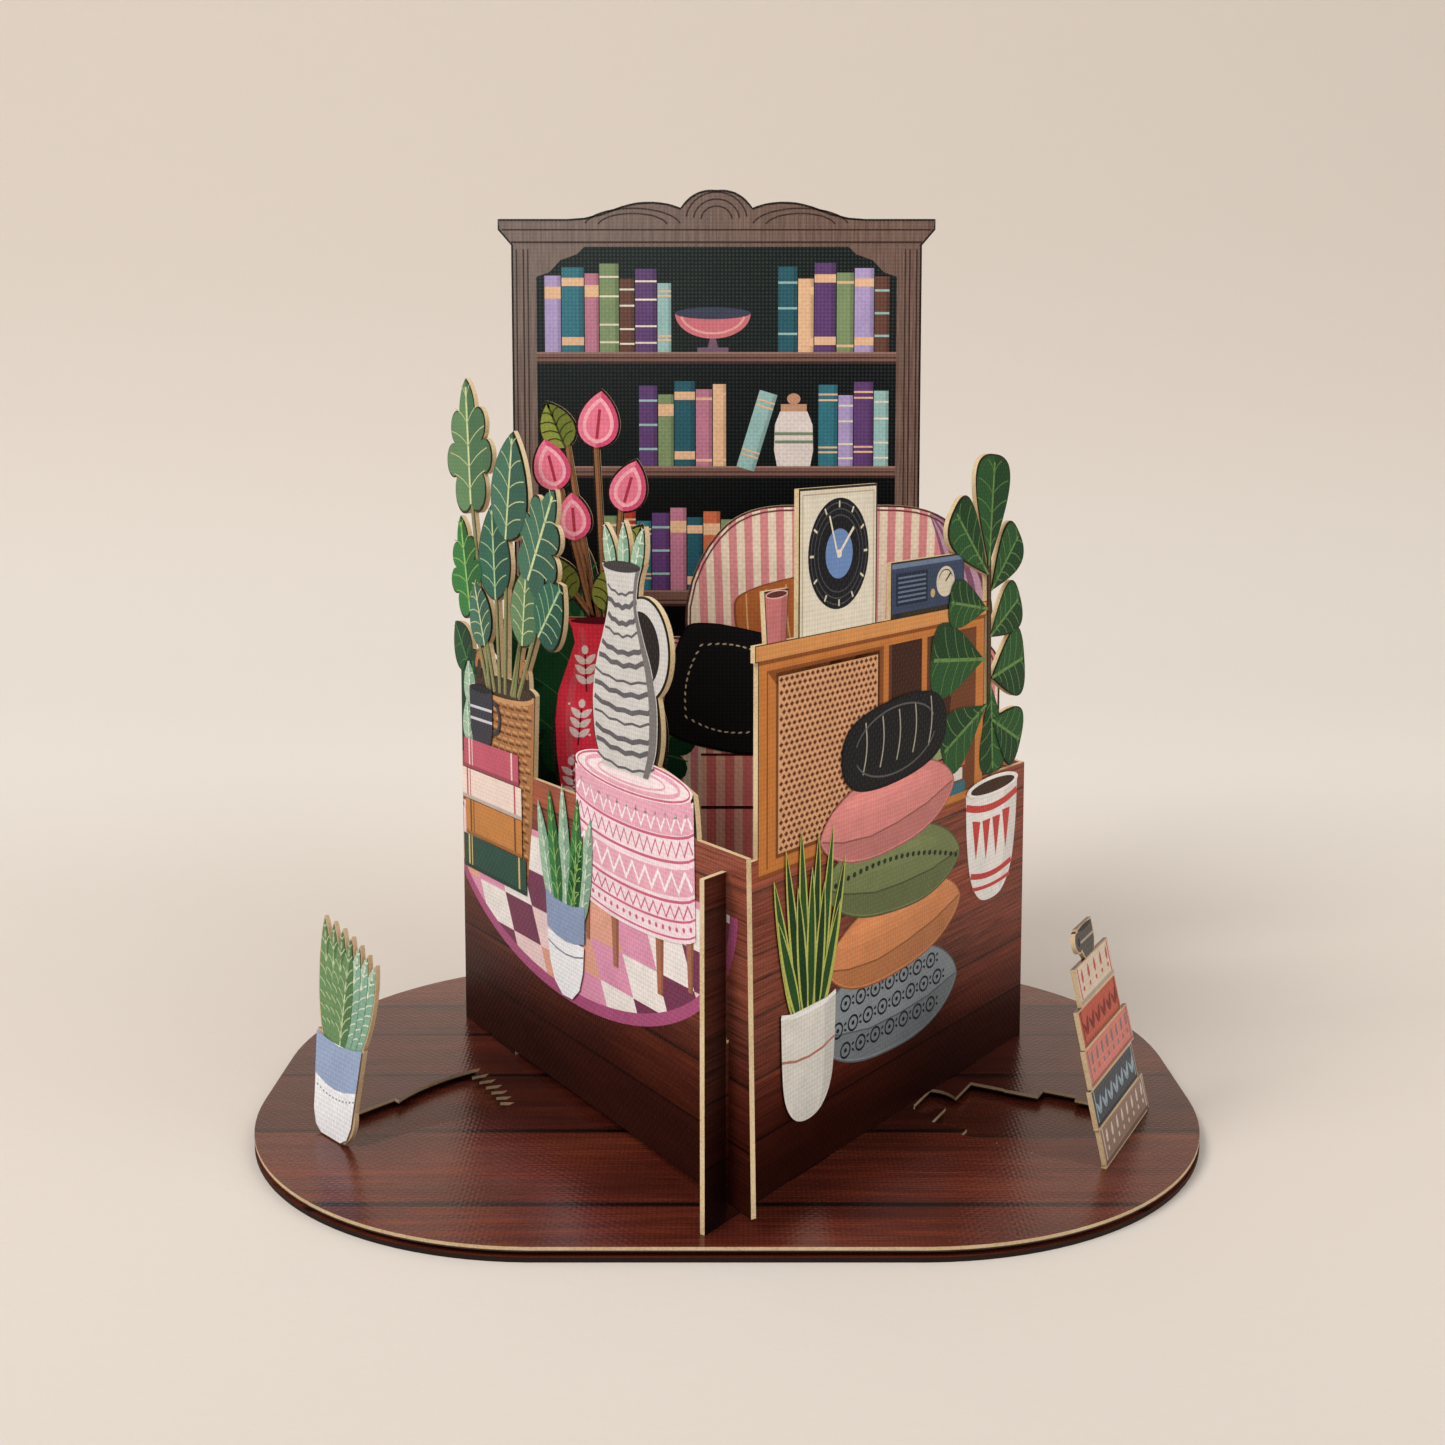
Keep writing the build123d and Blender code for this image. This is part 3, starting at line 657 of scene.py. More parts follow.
class Print:
    # collects the printed shapes of one card and joins them into one thin piece
    def __init__(self, name, plane, look):
        self.name = name
        self.plane = planes[plane]
        self.look = look
        self.made = []

    def lay(self, ink, level, *shapes, tone=1.0):
        # fills shapes with one colour, or a named one of the card's. Higher levels lie over lower ones
        curve = bpy.data.curves.new(self.name, "CURVE")
        curve.dimensions = "2D"
        curve.fill_mode = "BOTH"
        curve.resolution_u = 12
        curve.extrude = layer["half"] * mm
        for shape in shapes:
            if not shape:
                continue
            if len(shape[0]) == 3:
                spline = curve.splines.new("BEZIER")
                spline.bezier_points.add(len(shape) - 1)
                for knot, places in zip(spline.bezier_points, shape):
                    before, place, after = [(x * mm, y * mm, 0) for x, y in places]
                    knot.co, knot.handle_left, knot.handle_right = place, before, after
            else:
                spline = curve.splines.new("POLY")
                spline.points.add(len(shape) - 1)
                for knot, (x, y) in zip(spline.points, shape):
                    knot.co = (x * mm, y * mm, 0, 1)
            spline.use_cyclic_u = True
        piece = bpy.data.objects.new(self.name, curve)
        bpy.context.scene.collection.objects.link(piece)
        height = layer["first"] + layer["step"] * level
        piece.matrix_world = self.plane @ Matrix.Translation((0, 0, height * mm))
        colour = self.look[ink] if isinstance(ink, str) else ink
        self.made.append((piece, [part * tone for part in linear(*colour)]))

    def cushion(self, ink, level, spot, form, tone, inset=0.5, lift=0.2):
        # a dark rim, and the cushion's body a little smaller over it
        x, y, halfWidth, halfHeight, turn = spot
        self.lay(ink, level, turned(cushionRim(halfWidth, halfHeight, form), x, y, turn), tone=tone)
        body = cushionRim(halfWidth - inset, halfHeight - inset, form)
        self.lay(ink, level + 1, turned(body, x, y + lift, turn))

    def leaf(self, spot, tint, level, form="plain", veins=5, lobes=4, inset=0.5):
        x, y, length, width, lean = spot
        leafInk, shadeInk, veinInk = greens[tint]
        if form == "lobed":
            outline, shaded = lobedShape(*spot, lobes, inset), lobedShape(*spot, lobes, inset, (1,))
        else:
            outline, shaded = leafShape(*spot, inset, False, form), leafShape(*spot, inset, True, form)
        along, across = leafAxes(lean)
        root = Vector((x, y)) + along * inset
        self.lay(leafInk, level, outline)
        self.lay(shadeInk, level + 1, shaded)
        middle = [root, root + along * length * 0.5, root + along * (length * 0.93 - inset)]
        self.lay(veinInk, level + 2, stroke(middle, 0.03 * width + 0.22))
        for step in range(veins):
            share = 0.12 + 0.68 * step / (veins - 1)
            reach = 0.4 * width * sin(pi * (share + 0.1) ** (1.5 if form == "blunt" else 0.75))
            start = root + along * length * share
            for side in (-1, 1):
                end = start + along * length * 0.13 + across * (side * reach)
                self.lay(veinInk, level + 2, bentLine(start, end, side * 0.6, 0.3, 4), tone=0.8)

    def stalk(self, start, end, width, ink, level):
        side = Vector((width * 0.22, 0))
        self.lay(ink, level, bentLine(start, end, 0, width))
        shaded = bentLine(Vector(start) + side, Vector(end) + side, 0, width * 0.3)
        self.lay(ink, level + 1, shaded, tone=0.62)

    def join(self, ink, slot):
        bpy.ops.object.select_all(action="DESELECT")
        for piece, shade in self.made:
            piece.select_set(True)
        bpy.context.view_layer.objects.active = self.made[0][0]
        bpy.ops.object.convert(target="MESH")
        bpy.ops.object.transform_apply(location=True, rotation=True, scale=True)
        for piece, shade in self.made:
            colours = piece.data.color_attributes.new("ink", "FLOAT_COLOR", "CORNER")
            colours.data.foreach_set("color", (*shade, 1.0) * len(colours.data))
        bpy.ops.object.join()
        joined = bpy.context.view_layer.objects.active
        bpy.ops.object.mode_set(mode="EDIT")
        bpy.ops.mesh.select_all(action="SELECT")
        bpy.ops.mesh.remove_doubles(threshold=0.0000001)
        bpy.ops.mesh.normals_make_consistent(inside=False)
        bpy.ops.object.mode_set(mode="OBJECT")
        joined.name = self.name
        joined.data.name = self.name
        joined.data.materials.clear()
        joined.data.materials.append(inkMaterial(ink, self.plane))
        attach(joined, "root")
        print(self.name, len(joined.data.polygons), "faces")


# Bookcase: the dark inside with three shelves in the frame's wood, carved lines and rows of books
print("bookcase")
bookcase = {
    # the dark inside, its three tones stepping darker downwards as painted shade
    "inside": (20, 26, 25),
    "insideMiddle": (11, 15, 15),
    "insideLow": (3, 4, 4),
    "line": (62, 40, 36),
    "outline": (34, 22, 20),
    "light": (156, 120, 108),
    "shelfFront": (126, 90, 80),
    "halfInside": 48.5,
    "foot": 30,
    "shelves": ((170.4, 173.6), (139.6, 142.8), (104.5, 108.9)),
    # inks of the books
    "lavender": (180, 160, 206), "sage": (131, 150, 106), "brown": (104, 66, 54), "teal": (54, 118, 132),
    "purple": (98, 64, 116), "mint": (156, 194, 190), "pink": (194, 124, 146), "orange": (205, 108, 72),
    "red": (188, 62, 46), "peach": (236, 190, 150), "petrol": (42, 92, 104), "cream": (236, 226, 204),
    # and of what stands between them
    "bowlFoot": (120, 90, 110), "bowl": (214, 118, 128), "bowlLine": (238, 170, 160),
    "bowlHollow": (60, 64, 84), "jar": (232, 218, 212), "jarLid": (200, 150, 120), "jarBand": (118, 140, 110),
}
bookSheet = Print("bookcase_print", "bookcase_panel", bookcase)
lay = bookSheet.lay
half, foot = bookcase["halfInside"], bookcase["foot"]
insideTop = [(half, 193.7), (half - 3.5, 194.9), (half - 6.5, 198.1), (half - 11, 199.7), (half - 13, 201.7)]
lay("inside", 0, [(-half, foot), (half, foot)] + insideTop + flipped(insideTop))
# painted shade: the dark inside is laid darker below the top shelf and darker still below the middle one
lay("insideMiddle", 1, box(-half, foot, half, bookcase["shelves"][0][0]))
lay("insideLow", 2, box(-half, foot, half, bookcase["shelves"][1][0]))
for low, high in bookcase["shelves"]:
    lay("shelfFront", 3, box(-half, low, half, high))
    lay("light", 4, box(-half, high - 0.5, half, high))
    lay("line", 4, box(-half, low, half, low + 0.7), box(-half, low + 1.5, half, low + 1.8))
edge = card["bookcaseWidth"] / 2
grooves = (1.2 - edge, -half - 3.6, -half - 2.4, half + 2.05, half + 3.3, edge - 1.5)
lay("line", 1, *[box(x, 34, x + 0.35, 201) for x in grooves])
lay("line", 1, box(-edge, 202.6, edge, 203.1), box(-edge - 2.5, 206.0, edge + 2.5, 206.4))
rightEdge = [
    (54.9, 30), (54.9, 202.1), (58.5, 206.3), (58.5, 208.75), (40, 208.75), (35.4, 209.1), (31.0, 210.15),
    (25.3, 212.2), (21.35, 213.12), (17.0, 213.33), (13.1, 212.85), (9.7, 211.7), (8.7, 212.9), (6.95, 214.6),
    (4.85, 215.85), (2.5, 216.45),
]
lay("outline", 1, stroke(rightEdge + [(0, 216.45)] + flipped(rightEdge), 0.55))
carving = [ring(0, 208.6, reach, reach * 0.92, 0.4, 8, 172, 40) for reach in (8.2, 6.2, 4.2)]
for x in (-22.5, 22.5):
    carving += [ring(x, 206.9, reach, reach * 0.38, 0.4, 12, 168, 40) for reach in (13, 9.5)]
lay("line", 1, *carving)

bandStyles = (  # ink and thickness of the bands across a book's back, and their heights as shares of it
    ("peach", 0.7, (0.06, 0.86)), ("cream", 0.5, (0.1, 0.3, 0.62, 0.84)), ("peach", 3.2, (0.7,)),
    ("peach", 2.2, (0.08, 0.78)), ("peach", 0.5, (0.16, 0.22, 0.8, 0.87)), ("mint", 0.6, (0.2, 0.5, 0.8)),
)


def spine(left, foot, width, height, ink, style, lean=0):
    # one book's back: its board, a shaded side and plain bands
    def bar(x0, y0, x1, y1):
        return turned(box(x0, y0, x1, y1), left, foot, -lean)

    lay(ink, 5, bar(0, 0, width, height))
    lay(ink, 6, bar(width * 0.8, 0, width, height), tone=0.72)
    band, thick, shares = bandStyles[style]
    lay(band, 7, *[bar(0, height * share, width, height * share + thick) for share in shares])


rows = (  # each row's shelf and left end, and the width, height and ink of its books
    (173.6, -46.3, ((4.6, 20.4, "lavender"), (6.2, 22.6, "teal"), (4.0, 21.0, "pink"), (5.4, 23.6, "sage"),
                    (4.2, 19.6, "brown"), (6.0, 22.2, "purple"), (3.9, 18.4, "mint"))),
    (173.6, 16.6, ((5.4, 22.8, "petrol"), (4.4, 19.6, "peach"), (6.0, 23.8, "purple"), (4.8, 21.2, "sage"),
                   (5.4, 22.4, "lavender"), (4.2, 20.2, "brown"))),
    (142.8, -21.0, ((5.2, 21.8, "purple"), (4.4, 19.4, "sage"), (5.8, 23.0, "petrol"), (4.6, 20.8, "pink"),
                    (3.8, 22.2, "peach"))),
    (142.8, 27.6, ((5.4, 22.0, "teal"), (4.2, 19.2, "lavender"), (5.4, 22.8, "purple"), (4.2, 20.4, "mint"))),
    (108.9, -31.0, ((4.4, 20.4, "sage"), (4.8, 22.0, "red"), (4.2, 19.0, "teal"), (5.0, 21.2, "purple"),
                    (4.6, 22.6, "pink"), (4.4, 20.0, "petrol"), (4.8, 21.6, "orange"), (4.4, 19.4, "sage"))),
)
count = 0
for shelf, left, books in rows:
    for width, height, ink in books:
        spine(left, shelf, width - 0.25, height, ink, (count * 5 + len(ink)) % len(bandStyles))
        left += width
        count += 1
spine(5.4, 142.8, 5.0, 21.6, "mint", 4, 17)
# a footed bowl on the upper shelf and a lidded jar on the middle one
lay("bowlFoot", 3, box(-5.2, 173.6, 3.2, 174.8), [(-2.4, 174.8), (0.4, 174.8), (-0.2, 177.4), (-1.8, 177.4)])
lay("bowl", 4, ellipse(-1, 184.0, 10.2, 6.8, 0, 180, 360, 44))
lay("bowlLine", 5, ring(-1, 184.0, 8.6, 5.4, 0.6, 190, 350, 44))
lay("bowlHollow", 5, ellipse(-1, 184.0, 10.2, 1.6))
lay("jar", 3, [(16.4, 142.8), (25.4, 142.8), (26.2, 147), (26.0, 154), (24.6, 157.6), (17.2, 157.6),
               (15.8, 154), (15.6, 147)])
lay("jarLid", 3, box(17.4, 157.6, 24.4, 159.6), ellipse(20.9, 161.0, 1.8, 1.5))
lay("jarBand", 4, box(15.8, 149.0, 26.1, 149.8), box(15.8, 151.2, 26.1, 152.0))
bookSheet.join("bookcase", "bookcase_panel")

# Left wall: a round checked rug, a plant in a woven tub, books, a small pot, and a jug on a stool
print("left wall")
leftWall = {
    "rugEdge": (172, 84, 124),
    "rugCells": ((240, 232, 226), (226, 164, 142), (118, 58, 84), (222, 150, 178), (238, 208, 206)),
    "cell": (15.5, 8.6),
    "tub": (168, 114, 68),
    "tubDark": (108, 66, 36),
    "tubLight": (200, 150, 102),
    "tubHollow": (62, 44, 30),
    "handleHollow": (60, 42, 28),
    "stalk": (140, 140, 92),
    "mug": (52, 52, 62),
    "mugHollow": (28, 26, 32),
    "mugBand": (204, 204, 210),
    "stool": (246, 222, 228),
    "stoolTop": (247, 228, 230),
    "stoolLine": (206, 100, 132),
    "stoolBand": (232, 170, 188),
    "stoolTeeth": (250, 240, 240),
    "legs": (168, 108, 82),
    "jug": (206, 202, 198),
    "jugBand": (96, 92, 96),
    "jugShade": (118, 112, 112),
    "jugHollow": (30, 22, 22),
    "jugMouth": (60, 56, 58),
    "pot": (244, 244, 246),
    "glaze": (142, 158, 190),
    "potLine": (120, 122, 140),
    "tubMiddle": 28,
    "tubTop": 89.6,
    "stoolMiddle": 95.2,
    "jugMiddle": 93.0,
}
leftSheet = Print("left_wall_print", "left_wall", leftWall)
lay = leftSheet.lay


def rugRim(grow):
    # lower half of the oval rug, held inside the wall's two ends
    oval = ellipse(64, 58, 72 + grow, 35 + grow, 0, 180, 360, 120)
    return [(min(max(x, 0.3 + 0.028 * y), 140.8), y) for x, y in oval]


lay("rugEdge", 0, rugRim(1.6))
wide, deep = leftWall["cell"]
rim, cells = rugRim(-1.2), {}
for column in range(-3, 12):
    for row in range(5):
        # the cells lean over with distance, as on a floor seen from the front
        low, high = 22 + deep * row, 22 + deep * (row + 1)
        left, leftHigh = [6 + wide * column - 0.55 * (y - 22) for y in (low, high)]
        cell = clipped([(left, low), (left + wide, low), (leftHigh + wide, high), (leftHigh, high)], rim)
        if cell:
            cells.setdefault((column * 2 + row * 3) % 5, []).append(cell)
for pick, found in cells.items():
    for cell in found:
        lay(leftWall["rugCells"][pick], 1, cell)

# tub with its weave
middle, top = leftWall["tubMiddle"], leftWall["tubTop"]
handles = (middle - 13.4, middle + 13.4)
lay("tub", 2, [(15, 44), (41, 44), (44.4, 60), (middle + 19.2, top), (middle - 19.2, top), (11.6, 60)],
    *[ellipse(x, 93.6, 2.6, 4.2, 0, 0, 180, 24) for x in handles])
dark, light = [], []
for row in range(20):
    y = 45.5 + row * 2.15
    half = 13.6 + (y - 44) * 0.118
    pitch = half * 2 / 9
    for column in range(9):
        x, width = middle - half + (column + 0.5 * (row % 2)) * pitch, pitch * 0.78
        if x + width < middle + half:
            low = y - (1.2 if y > 60 else 0.6) * (1 - ((x - middle) / half) ** 2)
            dark.append([(x, low), (x + width, low - 0.1), (x + width, low + 0.45), (x, low + 0.55)])
            light.append([(x + 0.2, low + 0.9), (x + width - 0.3, low + 0.8), (x + width - 0.3, low + 1.35),
                          (x + 0.2, low + 1.45)])
lay("tubDark", 3, *dark)
lay("tubLight", 3, *light)
lay("tubHollow", 4, ellipse(middle, top, 18.2, 2.2))
lay("tubLight", 5, ring(middle, top - 0.2, 18.6, 2.5, 1.1, 180, 360, 48))
lay("handleHollow", 4, *[ellipse(x, 93.4, 1.2, 2.4) for x in handles])
tubPlant = (
    ((12, 134, 32, 29, -3), "moss", "lobed"), ((10, 107, 25, 21, -12), "fresh", "lobed"),
    ((45, 117, 27, 24, 36), "blue", "lobed"), ((33, 126, 27, 23, 12), "blue", "plain"),
    ((26, 111, 24, 21, -3), "deep", "plain"), ((41, 101, 20, 17, 10), "moss", "plain"),
    ((50, 104, 19, 17, 46), "deep", "plain"), ((19, 99, 18, 15, -20), "blue", "plain"),
)
for step, (spot, tint, form) in enumerate(tubPlant):
    leftSheet.stalk((middle + (spot[0] - middle) * 0.45, 88.5), (spot[0], spot[1] + 4), 1.6, "stalk", 6)
    leftSheet.leaf(spot, tint, 8 + 3 * (step % 4), form)

# a dark bush and pale leaves on the raised end beside the fold
lay(greens["bush"][1], 0, [(2.4, 70.8), (12.6, 70.8), (12.6, 97.6), (3.1, 97.6)])
for spot in ((8, 93, 14, 13, -38), (7.6, 84, 12, 8, -4), (9.9, 85, 10, 6, 4)):
    leftSheet.leaf(spot, "bush", 1, veins=3, inset=0.35)
for spot in ((8.6, 83, 12, 8.5, -4), (7.2, 73, 12, 8, -5), (10.6, 72.4, 11, 6.5, 8)):
    leftSheet.leaf(spot, "pale", 5, veins=4, inset=0.2)

# pile of plain books, with a mug on it
pile = (  # left end, foot, width, height, cover and trim of each book
    (2.6, 41.0, 38.2, 8.6, (38, 76, 64), (222, 190, 120)),
    (4.2, 49.8, 34.6, 9.0, (196, 130, 66), (110, 66, 40)),
    (2.4, 59.0, 36.6, 7.8, (240, 218, 206), (190, 84, 96)),
    (4.0, 67.0, 33.6, 7.6, (194, 88, 108), (240, 208, 200)),
)
for x, y, width, high, colour, trim in pile:
    lay(colour, 21, box(x, y, x + width, y + high))
    lay(colour, 22, box(x, y, x + width, y + 0.9), tone=0.6)
    bands = ((3.0, 3.9), (5.0, 5.5), (width - 4.4, width - 3.5))
    lay(trim, 22, *[box(x + start, y + 0.9, x + end, y + high) for start, end in bands])
lay("mug", 23, [(10.2, 74.6), (21.0, 74.6), (22.6, 78), (22.8, 88.4), (8.6, 88.4), (8.8, 78)])
lay("mug", 22, ring(23.4, 81.8, 3.6, 3.8, 1.2, -95, 95, 40))
lay("mugHollow", 25, ellipse(15.7, 88.3, 6.6, 1.0))
lay("mugBand", 24, box(8.9, 80.0, 22.6, 80.7), box(8.9, 83.0, 22.6, 83.7))

# stool: legs, drum and its plain banded cover
for x, foot, width in ((71.5, 38.4, 3.2), (84.5, 35.4, 3.8), (104.5, 34.6, 3.8), (117.5, 38.4, 3.2)):
    inner = x + width * 0.62
    lay("legs", 2, [(x, 50), (x + width, 50), (x + width - 0.7, foot), (x + 0.7, foot)])
    lay("legs", 3, [(inner, 50), (x + width, 50), (x + width - 0.7, foot), (inner, foot)], tone=0.7)
middle = leftWall["stoolMiddle"]


def sunk(x):
    # how far a ring round the drum sinks at x
    return 4.6 * max(0.0, 1 - ((x - middle) / 27.4) ** 2) ** 0.5


def drumBand(low, high, inset=0.5):
    # a band round the drum between two heights at its sides
    xs = [middle + (27.0 - inset) * (k / 12 - 1) for k in range(25)]
    return [(x, high - sunk(x)) for x in xs] + [(x, low - sunk(x)) for x in reversed(xs)]


def drumTeeth(halfWidth, low, high, teeth, width):
    xs = [middle + halfWidth * (k / teeth - 1) for k in range(2 * teeth + 1)]
    return stroke([(x, (high if k % 2 else low) - sunk(x)) for k, x in enumerate(xs)], width)


lay("stool", 12, drumBand(50.8, 79.0), ellipse(middle, 79.1, 26.4, 3.9, 0, 0, 180, 60))
lay("stoolBand", 14, drumBand(76.4, 80.4, 1.4))
lay("stoolBand", 13, drumBand(73.0, 78.0), drumBand(60.4, 66.0))
drumLines = ((72.2, 72.8), (67.2, 67.8), (59.0, 59.6), (55.0, 55.5), (51.6, 52.0))
lay("stoolLine", 13, *[drumBand(low, high) for low, high in drumLines])
lay("stoolTeeth", 14, drumTeeth(25.8, 73.8, 77.2, 12, 1.0), drumTeeth(25.6, 61.3, 65.2, 9, 1.2))
lay("stoolLine", 14, drumTeeth(26.0, 68.6, 71.6, 15, 0.65), drumTeeth(25.4, 55.9, 58.4, 14, 0.65))
dots = [70.6 + 2.9 * k for k in range(18)]
lay("stoolLine", 14, *[ellipse(x, 53.6 - sunk(x), 0.55, 0.55, steps=10) for x in dots])
lay("stoolTop", 15, ellipse(middle, 79.0, 26.2, 4.2, steps=60))
lay("stoolLine", 16, ring(middle, 79.0, 25.2, 3.7, 0.45))
lay("stoolBand", 16, ring(middle, 79.0, 21.0, 2.8, 0.9), ring(middle, 79.0, 15.0, 1.8, 0.45))

# jug in grey and white stripes, with three sprigs
middle = leftWall["jugMiddle"]
profile = ((10.4, 79.4), (13.6, 85.0), (14.6, 91.0), (14.3, 96.5), (12.2, 103.0), (9.3, 108.4), (6.6, 114.8),
           (7.2, 120.0), (9.0, 123.6))
sharp = (0, 8, 9, 17)
lay("jug", 16, ellipse(102.0, 106.5, 10.5, 10.5, 0, -100, 110, 60))
lay("jugHollow", 17, ellipse(100.6, 106.3, 8.4, 8.0, steps=44))
lay("jug", 18, rounded(moved(profile, middle) + flipped(profile, middle), sharp))
stripes = []
for k in range(13):
    y = 82.0 + 3.1 * k
    wide = 14.5 - abs(y - 92.5) * 0.1 if y < 101 else max(7.0, 13.0 - (y - 101) * 0.5)
    wide = min(wide, 14.4) - 0.5
    wave, line = 0.5 if k % 2 else -0.4, []
    for j in range(9):
        share = j / 4 - 1
        line.append((middle + wide * share, y - 1.7 * (1 - share**2) + wave * (j % 2)))
    stripes.append(stroke(line, 1.1 if k % 3 else 0.55))
lay("jugBand", 19, *stripes)
shadeEdge = [(middle + wide * 0.76, y) for wide, y in profile]
lay("jugShade", 20, rounded(shadeEdge + [(middle + wide - 0.3, y) for wide, y in reversed(profile)], sharp))
lay("jugMouth", 20, ellipse(middle, 123.2, 8.4, 1.2))
for turn in (-20, 2, 24):
    leftSheet.leaf((middle + turn * 0.2, 121, 12, 6, turn), "pale", 9, veins=4, inset=0.35)

# small pot with lance leaves in front
lances = ((55.6, -16, 26), (59.2, -9, 29), (62.8, -2, 31), (66.6, 6, 29), (70.2, 13, 26), (64.2, 20, 22))
for k, (foot, lean, length) in enumerate(lances):
    tint, level = ("fresh", 24) if k % 2 else ("pale", 22)
    leftSheet.leaf((foot, 41.0, length, 6.4, lean), tint, level, veins=6, inset=0.0)
lay("pot", 27, [(52.6, 36), (71.6, 36), (70.8, 30), (68.8, 25.4), (65.0, 22.4), (60.0, 22.2), (56.0, 24.6),
                (53.6, 29)])
lay("glaze", 28, [(52.0, 45.4), (57, 44.3), (62, 44.0), (67, 44.3), (72.4, 45.4), (71.8, 36.8), (67, 35.6),
                  (62, 35.2), (57, 35.6), (52.5, 36.8)])
lay("potLine", 28, stroke([(53.0, 33.6), (57, 32.6), (62, 32.2), (67, 32.6), (71.2, 33.6)], 0.35))
leftSheet.join("left_wall", "left_wall")

# Right wall: a cabinet with a cane door, a clock, a radio and a cup, a tree, cushions and a lance plant
print("right wall")
rightWall = {
    "cabinet": (198, 122, 58),
    "cabinetLight": (216, 148, 86),
    "cabinetDark": (138, 76, 34),
    "inside": (62, 31, 16),
    "insideLight": (112, 64, 34),
    "insideEdge": (94, 58, 38),
    "cane": (218, 164, 120),
    "caneHole": (104, 50, 28),
    "standing": ((226, 222, 216), (196, 110, 108), (232, 228, 222), (90, 88, 90), (214, 206, 196)),
    "lying": ((58, 110, 120), (222, 214, 204), (196, 92, 82), (150, 160, 110), (230, 190, 150)),
    "clockBoard": (230, 220, 200),
    "clockFrame": (190, 170, 136),
    "clockDial": (22, 22, 26),
    "clockRing": (74, 74, 80),
    "clockMiddle": (112, 142, 192),
    "clockMark": (226, 214, 190),
    "clockHand": (236, 226, 204),
    "radio": (58, 70, 94),
    "radioLight": (110, 126, 152),
    "radioFoot": (28, 32, 44),
    "speaker": (34, 42, 60),
    "speakerSlot": (104, 118, 142),
    "scale": (216, 204, 180),
    "needle": (60, 52, 50),
    "knob": (196, 170, 120),
    "cup": (200, 118, 118),
    "cupHollow": (94, 46, 44),
    "cupRim": (236, 176, 170),
    "cushions": ((144, 152, 156), (218, 142, 92), (120, 130, 84), (220, 138, 132)),
    "cushionPattern": (34, 36, 48),
    "beads": (40, 48, 34),
    "bolster": (22, 22, 24),
    "bolsterEdge": (92, 88, 86),
    "piping": (176, 168, 150),
    "trunk": (84, 62, 40),
    "pot": (240, 234, 228),
    "potBand": (200, 72, 66),
    "soil": (66, 44, 32),
    "lanceEdge": (190, 192, 96),
    "lances": ((44, 82, 42), (30, 62, 34)),
    "plainPot": (232, 228, 218),
    "plainRim": (250, 248, 242),
    "plainLine": (190, 130, 112),
    "clockPlace": (39, 129.0),
    "shelf": 113.0,
}
rightSheet = Print("right_wall_print", "right_wall", rightWall)
lay = rightSheet.lay
lay("cabinet", 0, box(10.3, 66, 103.3, 109.8))
lay("cabinetLight", 0, box(9.3, 109.8, 104.3, 112.8))
lay("cabinetDark", 1, box(10.3, 109.0, 103.3, 109.8), box(10.3, 66, 103.3, 66.8),
    box(13.0, 67.6, 13.4, 107.6), box(57.2, 67.6, 57.6, 107.6), box(13.4, 107.2, 57.2, 107.6))
lay("cabinetDark", 1, box(16.2, 69.2, 55.6, 106.8), tone=0.8)
lay("cane", 2, box(17.0, 70.0, 54.8, 106.0))
places = [(18.0 + 1.88 * column + 0.94 * (row % 2), 70.9 + 1.32 * row)
          for row in range(27) for column in range(20)]
lay("caneHole", 3, *[[(x - 0.76, y), (x, y - 0.55), (x + 0.76, y), (x, y + 0.55)]
                     for x, y in places if x < 54.2])
lay("inside", 1, box(59.4, 68.6, 73.8, 107.4))
lay("insideLight", 1, box(76.2, 68.6, 99.4, 107.4))
lay("inside", 2, [(77.6, 70.4), (84, 70.4), (90, 107.4), (77.6, 107.4)], tone=1.25)
lay("insideEdge", 2, box(59.4, 68.6, 60.6, 107.4), box(76.2, 68.6, 77.6, 107.4))
for k in range(9):
    x, top = 61.4 + 1.35 * k, 84.0 - 0.5 * (k % 3)
    lay(rightWall["standing"][k % 5], 2, [(x, 68.6), (x + 0.9, 68.6), (x + 1.5, top), (x + 0.6, top + 0.2)])
for k, shade in enumerate(rightWall["lying"]):
    lay(shade, 3, box(79.0, 68.6 + 3.2 * k, 94.6 - 1.3 * (k % 2), 71.4 + 3.2 * k))

x, y = rightWall["clockPlace"]
shelf = rightWall["shelf"]
lay("clockBoard", 0, box(24.5, shelf, 53.5, 142.5))
lay("clockFrame", 1, stroke([(25.4, shelf), (25.4, 141.6), (52.6, 141.6), (52.6, shelf)], 0.4))
lay("clockDial", 1, ellipse(x, y, 11.6, 11.6, steps=64))
lay("clockRing", 2, *[ring(x, y, reach, reach, 0.28, 0, 359.7, 64) for reach in (10.6, 9.3, 8.0)])
lay("clockMiddle", 3, ellipse(x, y, 5.2, 5.2, steps=48))
hours = [(cos(radians(30 * k)), sin(radians(30 * k))) for k in range(12)]
marks = [stroke([(x + 9.6 * c, y + 9.6 * s), (x + 11.0 * c, y + 11.0 * s)], 0.5) for c, s in hours]
lay("clockMark", 3, *marks)
lay("clockHand", 4, stroke([(x, y), (44.6, 134.2)], 0.7))
lay("clockHand", 5, stroke([(38.6, 128.2), (35.2, 137.0)], 0.55))
lay("clockHand", 6, ellipse(x, y, 0.9, 0.9, steps=20))

